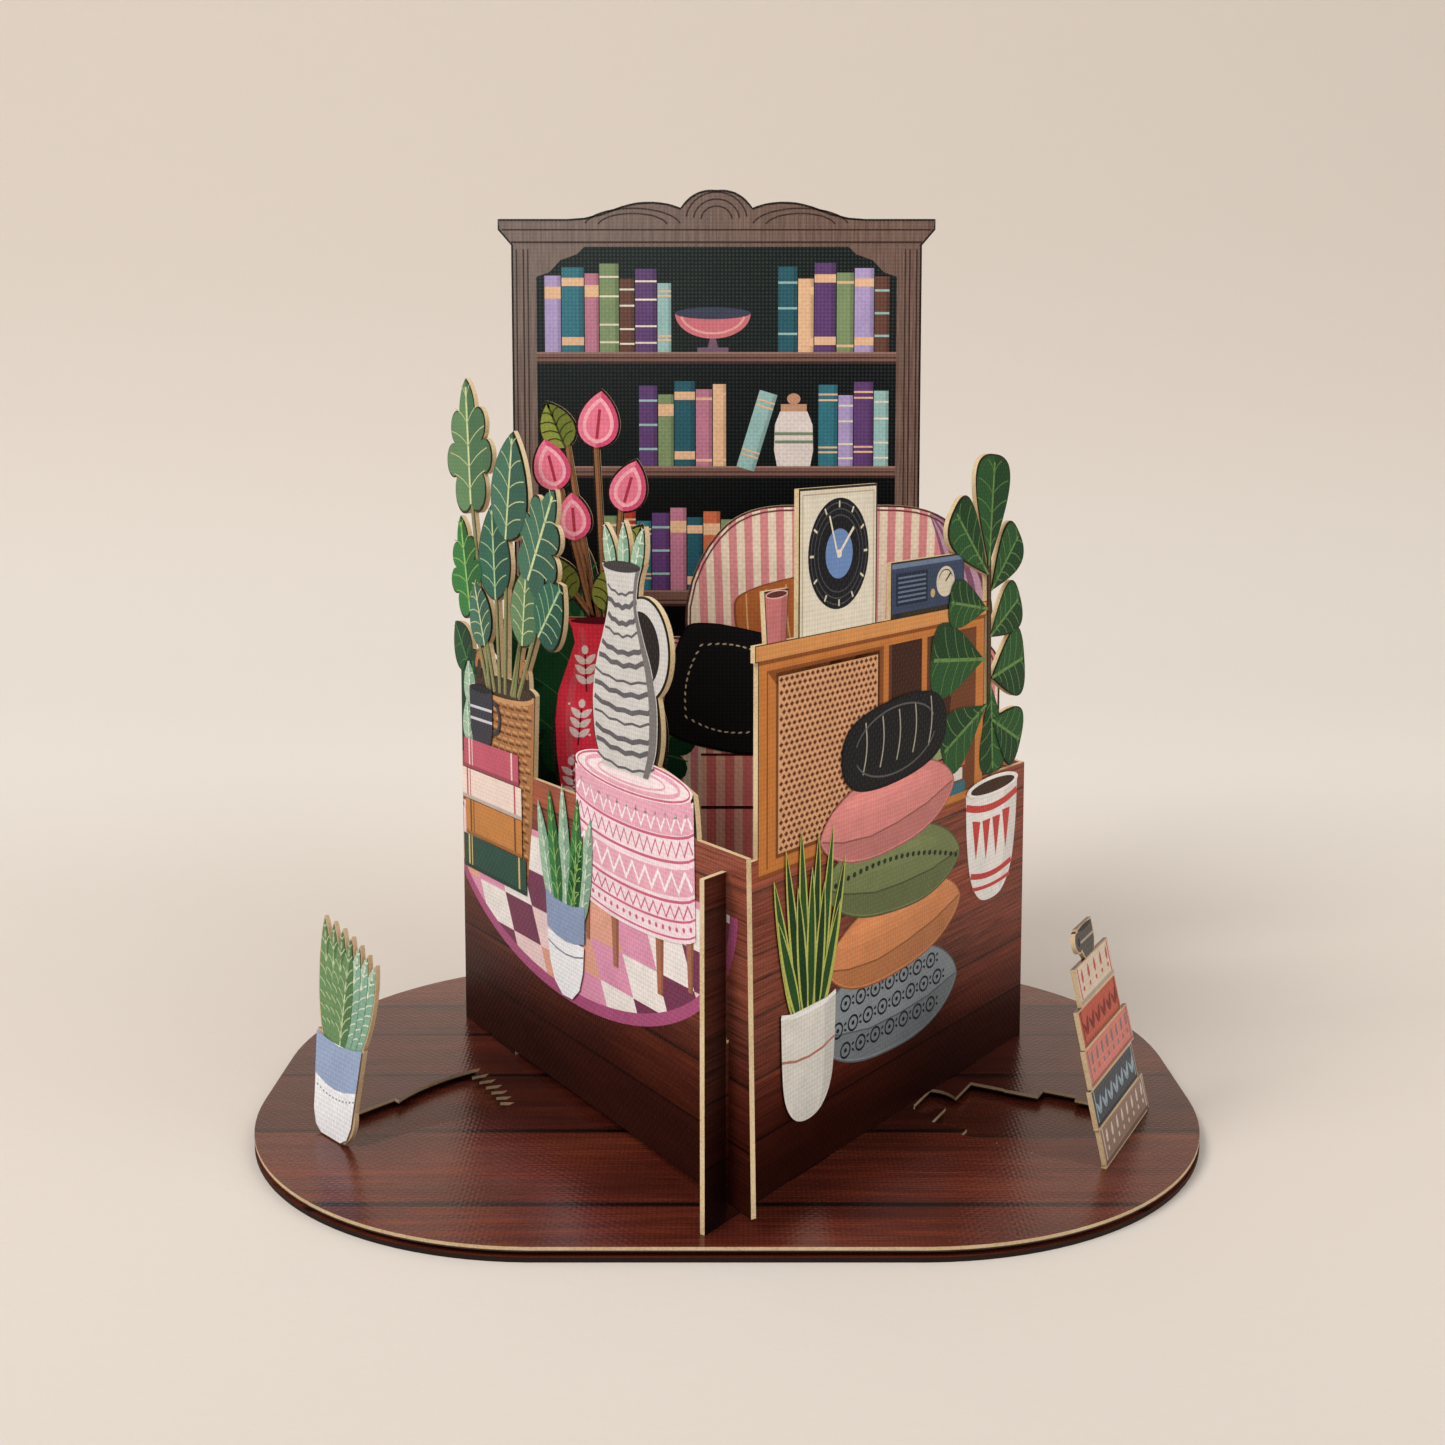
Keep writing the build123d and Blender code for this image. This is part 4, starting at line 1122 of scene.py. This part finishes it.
lay("radio", 0, box(60.4, 114.0, 92.6, 125.0))
lay("radioFoot", 0, box(62.0, shelf, 64.6, 114.0), box(88.4, shelf, 91.0, 114.0))
lay("radioLight", 1, box(60.4, 123.9, 92.6, 125.0))
lay("speaker", 1, box(62.2, 115.6, 76.0, 122.8))
lay("speakerSlot", 2, *[box(63.0, 116.3 + 1.05 * k, 75.2, 116.75 + 1.05 * k) for k in range(6)])
lay("scale", 1, ellipse(84.2, 119.4, 4.2, 3.5, steps=40))
lay("needle", 2, stroke([(84.2, 119.4), (86.6, 121.4)], 0.4), ring(84.2, 119.4, 3.3, 2.7, 0.25, 20, 160))
lay("knob", 1, ellipse(78.4, 117.2, 1.0, 1.0, steps=20), ellipse(90.0, 117.2, 1.0, 1.0, steps=20))

lay("cup", 0, [(13.2, shelf), (19.4, shelf), (20.3, 123.0), (12.3, 123.0)])
lay("cup", 1, [(17.6, shelf), (19.4, shelf), (20.3, 123.0), (18.0, 123.0)], tone=0.75)
lay("cupHollow", 2, ellipse(16.3, 122.5, 3.5, 0.6))
lay("cupRim", 3, ring(16.3, 122.5, 3.7, 0.75, 0.25, 0, 359, 40))

# cushions in a stack, each a plump shape with its seam
stack = ((61.5, 26.8, 30.4, 11.2, -3), (64.0, 42.4, 29.0, 9.6, 3), (63.0, 56.8, 29.4, 9.6, -4),
         (60.5, 70.8, 28.6, 9.4, 3))
for k, spot in enumerate(stack):
    x, y, wide, high, turn = spot
    colour, low = rightWall["cushions"][k], 5 + 4 * k
    rightSheet.cushion(colour, low, spot, "pinched", 0.5, 0.4, 0)
    seam = [(-wide * 0.97, -0.3), (-wide * 0.7, -2.4), (-wide * 0.3, -3.9), (wide * 0.1, -3.6),
            (wide * 0.55, -2.4), (wide * 0.97, 0.2)]
    under = [(px, -py) for px, py in cushionRim(wide - 0.8, high - 0.8, "pinched", 180)]
    lay(colour, low + 2, turned(seam + under, x, y, turn), tone=0.74)
    lay(colour, low + 3, stroke(turned(seam, x, y, turn), 0.35), tone=0.42)
    if k:
        glow = ((0.12, 0.42, 0.74, 0.32, 1.1), (0.16, 0.52, 0.52, 0.17, 1.2))
        for step, (left, up, halfWidth, halfHeight, tone) in enumerate(glow):
            shine = (x - wide * left, y + high * up, wide * halfWidth, high * halfHeight, turn)
            lay(colour, low + 2 + step, ellipse(*shine, steps=40), tone=tone)
# rings and dots on the lowest one
x, y = stack[0][:2]
rings, dots = [], []
for row in range(3):
    for column in range(9):
        px, py = -25.0 + 6.1 * column + 3.0 * (row % 2), -5.4 + 5.2 * row
        if abs(px) < 25 - abs(py) * 0.6:
            left, low = x + px, y + py + 0.3 * sin(px)
            rings.append(ring(left, low, 1.9, 1.6, 0.5, 0, 358, 20))
            dots.append(ellipse(left, low, 0.6, 0.5, steps=10))
            dots += [ellipse(left + 3.0, low + way, 0.55, 0.3, 40 * way, steps=8) for way in (-0.7, 0.7)]
lay("cushionPattern", 8, *rings)
lay("cushionPattern", 8, *dots)
# beads along the third one
x, y, wide = stack[2][:3]
beads = []
for k in range(23):
    share = k / 11 - 1
    low = y - 0.6 + 3.2 * (1 - share**2) - 2.0 * share
    beads.append(ellipse(x + wide * 0.93 * share, low, 0.72, 0.6, steps=10))
lay("beads", 16, *beads)
# a dark bolster with plain cream piping on top of the stack
rightSheet.cushion("bolster", 21, (62.5, 86.0, 22.5, 9.4, 4), "bolster", 0.55)
lay("bolsterEdge", 23, *[ring(62.5, 86.2, 17.2, 7.4, 0.4, first, first + 150, turn=4) for first in (195, 15)])
lay("piping", 23, *[bentLine((48.5 + 7.0 * k, 80.6 + 0.5 * k), (49.5 + 7.0 * k, 91.8 + 0.5 * k), -1.0, 0.45)
                    for k in range(5)])

# the tree and its banded pot
rightSheet.stalk((107, 70.0), (105.4, 130), 1.5, "trunk", 2)
treeLeaves = (
    (107, 93, 23, 16, 176), (105, 121, 27, 20, 5), (105, 119, 24, 16, -46), (106, 115, 20, 15, 48),
    (105, 111, 20, 14, -80), (106, 104, 18, 15, 62), (104, 99, 27, 21, -84), (107, 94, 18, 20, 80),
    (105, 88, 24, 18, -112), (107, 84, 18, 17, 116),
)
for step, spot in enumerate(treeLeaves):
    rightSheet.leaf(spot, "tree", 4 + 3 * (step % 5), "blunt", inset=0.45)
middle = 108.5
lay("pot", 4, rounded([(95.3, 67.4), (96.0, 56), (98.2, 46), (102.6, 40.6), (108.4, 39.4), (114.2, 40.6),
                       (118.8, 46), (121.0, 56), (121.7, 67.4)], (0, 8)))
potSide = [(114.6, 67.4), (115.4, 54), (112.8, 40.8), (118.4, 46), (120.9, 56), (121.6, 67.4)]
lay("pot", 5, rounded(potSide, (0, 2, 5)), tone=0.84)
lay("pot", 19, ellipse(middle, 67.6, 13.2, 2.4))
lay("soil", 20, ellipse(middle, 67.5, 11.2, 1.6))
potLines = ((64.2, 13.0, 2.0, 1.7), (47.0, 10.4, 1.4, 1.4), (43.6, 9.72, 0.8, 0.9))
lay("potBand", 6, *[sagging(middle, y, wide, drop, width) for y, wide, drop, width in potLines])
teeth = ((98.6, 60.4, 59.5, 50.4), (103.7, 59.5, 59.5, 49.7), (108.8, 59.5, 59.5, 49.7),
         (113.9, 60.4, 60.4, 50.4))
lay("potBand", 6, *[[(x, left), (x + 4.0, right), (x + 2.0, low)] for x, left, right, low in teeth])

# white pot with long lance leaves
lances = (
    (23.0, -14, 33), (25.2, -9, 38), (27.0, -3, 41), (29.4, 3, 39), (31.4, 8, 40), (33.2, 15, 33),
    (24.4, -19, 25), (26.6, -6, 29), (28.4, 1, 32), (30.6, 6, 28), (32.0, 19, 24),
)
for k, (foot, lean, length) in enumerate(lances):
    level = (24 if k < 6 else 28) + 2 * (k % 2)
    lay("lanceEdge", level, leafShape(foot, 33.0, length, 3.9, lean))
    lay(rightWall["lances"][k % 2], level + 1, leafShape(foot, 33.4, length - 1.4, 2.5, lean))
lay("plainPot", 32, rounded([(17.6, 35.6), (38.0, 35.6), (37.4, 23), (36.0, 16.6), (32.6, 12.6), (27.8, 11.4),
                             (23.0, 12.6), (19.6, 16.6), (18.2, 23)], (0, 1)))
potSide = [(33.6, 35.6), (37.9, 35.6), (37.3, 23), (35.9, 16.8), (31.6, 12.4), (33.6, 20)]
lay("plainPot", 33, rounded(potSide, (0, 1, 4)), tone=0.85)
lay("plainRim", 34, stroke([(17.6, 36.0), (22, 35.0), (28, 34.6), (34, 35.0), (38.0, 36.0)], 1.0))
lay("plainLine", 34, stroke([(18.0, 26.4), (23, 25.2), (28, 24.8), (33, 25.2), (37.5, 26.4)], 0.55))
rightSheet.join("right_wall", "right_wall")

# Chair panel: a round-backed chair in broad stripes with cushions, and a dark bush beside it
print("chair")
chair = {
    "cream": (250, 232, 208),
    "pink": (230, 150, 152),
    "wing": (142, 96, 124),
    "wingLight": (196, 158, 178),
    "line": (120, 66, 66),
    "seat": (238, 132, 130),
    "seatStripe": (255, 196, 176),
    "seatLine": (70, 26, 28),
    "cushion": (24, 23, 25),
    "stitch": (214, 198, 168),
    "ochre": (186, 108, 58),
    "ochreLine": (226, 178, 120),
    "bushShade": (20, 46, 30),
    "stripe": 1.9,
    "middle": 28.5,
    "foot": 58,
    "armHalf": 7.5,
}
chairSheet = Print("chair_print", "chair_panel", chair)
lay = chairSheet.lay
middle, stripe, foot = chair["middle"], chair["stripe"], chair["foot"]
backRight = [
    (38.3, 58), (38.3, 104), (38.2, 109), (36.85, 115.2), (34.85, 120.1), (32.75, 123.7), (30.5, 126.75),
    (28.1, 129.2), (25.75, 130.95), (22.9, 132.35), (19.5, 133.3), (15.3, 133.8), (8.0, 133.95),
]
backRim = moved(backRight, middle) + flipped(backRight, middle)
lay("cream", 1, backRim)
stripes = []
for k in range(-9, 9):
    # stripes fan out a little towards the round top
    x = middle + k * stripe * 2
    low, high = x * 0.97 + middle * 0.03, x * 1.06 - middle * 0.06
    slant = [(low, foot), (low + stripe, foot), (high + stripe * 1.08, 134), (high, 134)]
    stripes.append(clipped(slant, backRim))
lay("pink", 2, *stripes)
# the right wing: curved stripes that run together at the top
wingOuter = [Vector(point) for point in moved(backRight[:10], middle)]
wingInner = [Vector(point) for point in moved((
    (25.0, 58), (26.4, 104), (26.6, 109), (26.5, 114), (26.2, 118.6), (25.6, 122), (24.9, 124.8),
    (24.2, 127.4), (23.4, 129.8), (22.6, 132.0)), middle)]
lay("wing", 3, wingOuter + wingInner[::-1])
wingStripes = []
for share in (0.12, 0.42, 0.72):
    near, far = [[outer.lerp(inner, edge) for outer, inner in zip(wingOuter, wingInner)]
                 for edge in (share, share + 0.15)]
    wingStripes.append(near + far[::-1])
lay("wingLight", 4, *wingStripes)
pipe = [(x * 0.985, foot + (y - foot) * 0.99) for x, y in backRight[1:]]
lay("line", 5, stroke(moved(pipe, middle) + flipped(pipe, middle), 0.4))
lay("seat", 6, box(-8, 41, 65, 71))
lay("seatStripe", 7, *[box(-7.2 + 4.6 * k, 41, -5.0 + 4.6 * k, 71) for k in range(16)])
lay("seatLine", 8, box(-8, 56.6, 65, 57.4), box(-8, 70.4, 65, 71))
reach = chair["armHalf"]
for left in (-21.5, 53.9):
    top = ellipse(left + reach, 93.0, reach, reach, 0, 0, 180, 40)
    armRim = [(left, 44), (left + 15.0, 44), (left + 15.0, 93.0)] + top[1:-1] + [(left, 93.0)]
    lay("cream", 9, armRim, tone=0.92)
    bars = [box(left + 1.0 + 3.8 * k, 44, left + 2.9 + 3.8 * k, 102) for k in range(4)]
    lay("pink", 10, *[clipped(bar, armRim) for bar in bars])
    lay("line", 11, ring(left + reach, 93.0, 6.6, 6.6, 0.4, 0, 180))
chairSheet.cushion("ochre", 12, (17.5, 102, 14.5, 14.0, 14), "square", 0.55)
lay("ochreLine", 14, *[bentLine((8.0 + 5.0 * k, 90 + 1.2 * k), (5.0 + 5.0 * k, 112 + 1.2 * k), 0.8, 0.4)
                       for k in range(5)])
x, y, turn = 0.6, 87.6, -12
chairSheet.cushion("cushion", 15, (x, y, 15.6, 16.0, turn), "square", 0.4)
stitches = []
for k in range(40):
    share = k / 40 * 2 * pi
    reach = 0.86 / max(abs(cos(share)), abs(sin(share))) ** 0.5
    (px, py), = turned([(12.6 * cos(share) * reach, 13.0 * sin(share) * reach)], x, y + 0.2, turn)
    stitches.append(ellipse(px, py, 0.6, 0.22, degrees(share) + 78, steps=8))
lay("stitch", 17, *stitches)
lay("bushShade", 1, box(-57.0, 50, -23.4, 73.8))
bushLeaves = ((-49.2, 64, 53, 24, -4), (-40.2, 64, 60, 27, 5), (-34.2, 62, 48, 24, 22),
              (-30.2, 58, 36, 22, 42))
for step, spot in enumerate(bushLeaves):
    chairSheet.leaf(spot, "bush", 3 + 3 * step, "lobed", lobes=5)
chairSheet.join("chair_panel", "chair_panel")

# Vase panel: a red vase with white sprigs, pink buds and olive leaves
print("vase")
vase = {
    "body": (240, 56, 78),
    "shade": (198, 36, 56),
    "shine": (226, 84, 96),
    "sprig": (246, 224, 220),
    "dark": (96, 12, 30),
    "mouth": (92, 14, 28),
    "bud": (238, 126, 150),
    "budLine": (214, 82, 118),
    "budLight": (248, 178, 188),
    "spadix": (176, 52, 72),
    "stalk": (152, 104, 70),
    "middle": -28.0,
}
vaseSheet = Print("vase_print", "vase_panel", vase)
lay = vaseSheet.lay
middle = vase["middle"]
profile = ((8.6, 44), (10.4, 54), (11.8, 66), (12.9, 76), (13.2, 84), (12.4, 91), (10.0, 98), (8.3, 103),
           (9.0, 106.4), (10.0, 108.7))
lay("body", 4, moved(profile, middle) + flipped(profile, middle))
lay("shade", 5, [(middle + wide * 0.62, y) for wide, y in profile] + moved(profile, middle)[::-1])
lay("shine", 5, [(middle - wide * 0.82, y) for wide, y in profile[1:-1]]
    + [(middle - wide * 0.68, y) for wide, y in reversed(profile[1:-1])])
sprigs = ((-7.6, 55, -10), (1.5, 66, 8), (-8.4, 69, -6), (5.5, 80, -16), (-7.8, 83, 6), (-5.6, 96, -2),
          (4.5, 58, 18))
for x, y, turn in sprigs:
    root = Vector((middle + x, y - 5))
    run = leafAxes(turn)[0]
    lay("dark", 6, stroke([root, root + run * 9], 0.35))
    leaves = []
    for step in range(3):
        knot = root + run * (2.0 + 2.4 * step)
        leaves += [leafShape(*knot, 3.4, 1.7, turn + way) for way in (-48, 48)]
    lay("sprig", 7, *leaves)
    lay("sprig", 7, ellipse(*(root + run * 10.2), 0.8, 1.1, -turn, steps=14))
dots = [(middle + 9.9 * sin(k * 2.4), 50 + 2.542 * k) for k in range(20)]
lay("sprig", 8, *[ellipse(x, y, 0.32, 0.32, steps=8) for x, y in dots])
lay("mouth", 8, ellipse(middle, 108.2, 9.3, 0.9))
buds = ((-31, 149, 14.5, 11, 6), (-40, 139, 13.5, 10, -14), (-25, 134, 13.5, 10, 16),
        (-36, 127, 12.5, 9.5, -4))
foliage = ((-38, 149, 12.5, 9.5, -22), (-25, 120, 12.5, 9.5, 24), (-29, 110, 12.5, 9.5, 10),
           (-37, 113, 12.5, 9.5, -26))
for spot in buds + foliage:
    vaseSheet.stalk((middle + (spot[0] - middle) * 0.3, 107.4), (spot[0], spot[1] + 3), 1.2, "stalk", 2)
for step, spot in enumerate(foliage):
    vaseSheet.leaf(spot, "olive", 9 + 3 * step)
for spot in buds:
    along, root = leafAxes(spot[4])[0], Vector(spot[:2])
    lay("bud", 21, leafShape(*spot, 0.45))
    lay("budLine", 22, leafShape(*spot, 0.45, True))
    lay("budLight", 23, leafShape(*spot, 1.5))
    lay("bud", 24, leafShape(*spot, 2.3))
    lay("spadix", 25, stroke([root + along * 2.6, root + along * spot[2] * 0.66], 0.7))
vaseSheet.join("vase_panel", "vase_panel")

# The two folded-up figures
print("figures")
figure = {
    "pot": (238, 238, 240),
    "glaze": (150, 166, 196),
    "lead": (120, 124, 140),
    "cup": (84, 78, 72),
    "cupHollow": (46, 42, 40),
    "cupBand": (168, 158, 144),
    "bookHeight": 8.2,
}
plantSheet = Print("plant_figure_print", "plant_figure", figure)
lay = plantSheet.lay
for step, lean in enumerate((-19, 23, -12, 16, -5, 9, 2)):
    spot = (lean * 0.2, 18, 27 - lean * 0.14, 7.8, lean * 0.72)
    plantSheet.leaf(spot, "pale" if step % 2 else "grey", 1 + 3 * step, veins=8, inset=0.35)
potRight = [(4.0, 0.3), (6.4, 1.6), (7.7, 4.6), (8.0, 8.0), (9.2, 20.6)]
lay("pot", 23, [(-4.0, 0.3)] + potRight + flipped(potRight)[:-1])
lay("glaze", 24, [(-8.5, 12.4), (-4, 11.2), (0, 10.8), (4, 11.2), (8.5, 12.4), (9.4, 21.7), (5, 20.8),
                  (0, 20.4), (-5, 20.8), (-9.4, 21.7)])
dashes = []
for k in range(12):
    start = (-7.4 + 1.35 * k, 10.2 - 1.2 * (1 - (k / 5.5 - 1) ** 2))
    dashes.append(stroke([start, (start[0] + 0.6, 10.15 - 1.2 * (1 - ((k + 0.4) / 5.5 - 1) ** 2))], 0.3))
lay("lead", 24, *dashes)
plantSheet.join("plant_figure", "base_top")

books = (  # width, cover and trim from the hinge up
    (35.0, (148, 122, 108), (214, 200, 188)), (32.5, (76, 78, 82), (150, 168, 178)),
    (33.5, (206, 124, 112), (120, 116, 118)), (28.5, (184, 88, 68), (120, 44, 40)),
    (25.5, (212, 192, 172), (178, 84, 80)),
)
booksSheet = Print("books_figure_print", "books_figure", figure)
lay = booksSheet.lay
for step, (width, colour, trim) in enumerate(books):
    shift, low = (-1) ** step * 0.9, step * figure["bookHeight"]
    left, right = shift - width / 2 + 0.35, shift + width / 2 - 0.35
    lay(colour, 1, box(left, low + 0.3, right, low + 7.9))
    lay(colour, 2, box(left, low + 0.3, right, low + 1.1), tone=0.6)
    marks = []
    number = int((width - 7) / 3.2)
    for k in range(number):
        x = left + 3.4 + k * (width - 7) / (number - 1)
        if step % 2:
            marks += [leafShape(x, low + 2.4, 4.0, 1.5, 24), leafShape(x, low + 2.4, 3.4, 1.2, -34)]
        else:
            marks += [ellipse(x, low + 3.0, 0.55, 0.55, steps=10), leafShape(x, low + 4.2, 3.0, 1.3, 8)]
    lay(trim, 3, *marks)
    lay(trim, 3, *[box(x, low + 1.2, x + 0.5, low + 7.9) for x in (left + 0.9, right - 1.4)])
top = 5 * figure["bookHeight"]
lay("cup", 1, [(-3.0, top + 0.1), (3.0, top + 0.1), (4.7, top + 2.6), (5.0, top + 6.7), (-5.0, top + 6.7),
               (-4.7, top + 2.6)])
lay("cup", 2, ellipse(-5.8, top + 4.2, 2.1, 2.1, steps=24))
lay("cupHollow", 3, ellipse(0, top + 6.4, 4.4, 0.5), ellipse(-5.8, top + 4.2, 0.9, 0.9, steps=16))
lay("cupBand", 3, box(-4.8, top + 3.6, 4.8, top + 4.1))
booksSheet.join("books_figure", "base_top")

# The plain stage: a floor that sweeps up into a backdrop, soft light from the left and front
print("stage")
stage = {
    "near": linear(208, 200, 189),
    "floor": linear(221, 212, 203),
    "far": linear(233, 226, 218),
    "backdrop": linear(223, 211, 199),
    "edge": 1.6,
    "back": 1.5,
    "bend": 0.9,
    "rise": 2.6,
    "width": 8,
    "drop": 0.00005,
}
bpy.ops.object.select_all(action="DESELECT")
bpy.ops.mesh.primitive_grid_add(x_subdivisions=4, y_subdivisions=48, size=1, location=(0, 0, 0))
sweep = bpy.context.active_object
turn = stage["edge"] + stage["back"] - stage["bend"]
for vertex in sweep.data.vertices:
    # run follows the paper from its front edge, then round the bend and up
    run = (vertex.co.y + 0.5) * (stage["edge"] + stage["back"] + stage["rise"])
    angle = min(max(run - turn, 0) / stage["bend"], pi / 2)
    depth = min(run, turn) - stage["edge"] + stage["bend"] * sin(angle)
    height = stage["bend"] * (1 - cos(angle)) + max(run - turn - stage["bend"] * pi / 2, 0)
    vertex.co = (vertex.co.x * stage["width"], depth, height - stage["drop"])
bpy.ops.object.shade_smooth()
sweep.name = "backdrop"
recipe = Recipe("backdrop_paper", 0.9)
height = recipe.dot(recipe.spot, (0, 0, 1))
depth = recipe.dot(recipe.spot, (0, 1, 0))
# painted light and shade: the paper's tone is graded, darker near the camera and lightest on the far floor
tone = recipe.mix(depth.ramped(-0.32, -0.05), stage["near"], stage["floor"])
tone = recipe.mix(depth.ramped(0.05, 0.4), tone, stage["far"])
tone = recipe.mix((depth * 0.5 + height * 0.5).ramped(0.3, 0.85), tone, stage["backdrop"])
grain = recipe.noise(recipe.spot, 260.0, 4.0, 0.6)
sweep.data.materials.append(recipe.finish(tone, grain, 0.0004, 0.25))

light = {
    # place, size in metres and watts
    "lamps": {"key": ((-1.5, -1.1, 1.9), 1.4, 43.0), "fill": ((1.7, -1.3, 1.2), 2.0, 20.0)},
    "aim": (0, 0, 0.08),
    "colour": (1.0, 0.985, 0.96),
    # light from all round, weaker from the side where the camera stands
    "around": (1.0, 0.985, 0.97, 1),
    "cameraSide": (0, -0.94, -0.34),
    "strength": (("From Min", -0.2), ("From Max", 0.9), ("To Min", 0.6), ("To Max", 0.3)),
}
for name, (place, size, watts) in light["lamps"].items():
    lamp = bpy.data.lights.new(name, "AREA")
    lamp.shape = "DISK"
    lamp.size = size
    lamp.energy = watts
    lamp.color = light["colour"]
    holder = bpy.data.objects.new(name, lamp)
    holder.location = place
    holder.rotation_euler = (Vector(light["aim"]) - Vector(place)).to_track_quat("-Z", "Y").to_euler()
    bpy.context.scene.collection.objects.link(holder)

world = bpy.data.worlds.new("studio")
world.use_nodes = True
tree = world.node_tree
facing = tree.nodes.new("ShaderNodeVectorMath")
facing.operation = "DOT_PRODUCT"
facing.inputs[1].default_value = light["cameraSide"]
tree.links.new(tree.nodes.new("ShaderNodeTexCoord").outputs["Generated"], facing.inputs[0])
dimmer = tree.nodes.new("ShaderNodeMapRange")
tree.links.new(facing.outputs["Value"], dimmer.inputs["Value"])
for socket, value in light["strength"]:
    dimmer.inputs[socket].default_value = value
tree.nodes["Background"].inputs["Color"].default_value = light["around"]
tree.links.new(dimmer.outputs["Result"], tree.nodes["Background"].inputs["Strength"])
bpy.context.scene.world = world
bpy.context.scene.view_settings.view_transform = "Standard"

camera = {"place": (-0.0010, -0.3974, 0.1638), "down": 5.5, "lens": 42.98, "shift": -0.1082}
view = bpy.data.cameras.new("view")
view.sensor_width = 36
view.lens = camera["lens"]
view.shift_y = camera["shift"]
viewer = bpy.data.objects.new("view", view)
viewer.location = camera["place"]
viewer.rotation_euler = (radians(90 - camera["down"]), 0, 0)
bpy.context.scene.collection.objects.link(viewer)
bpy.context.scene.camera = viewer
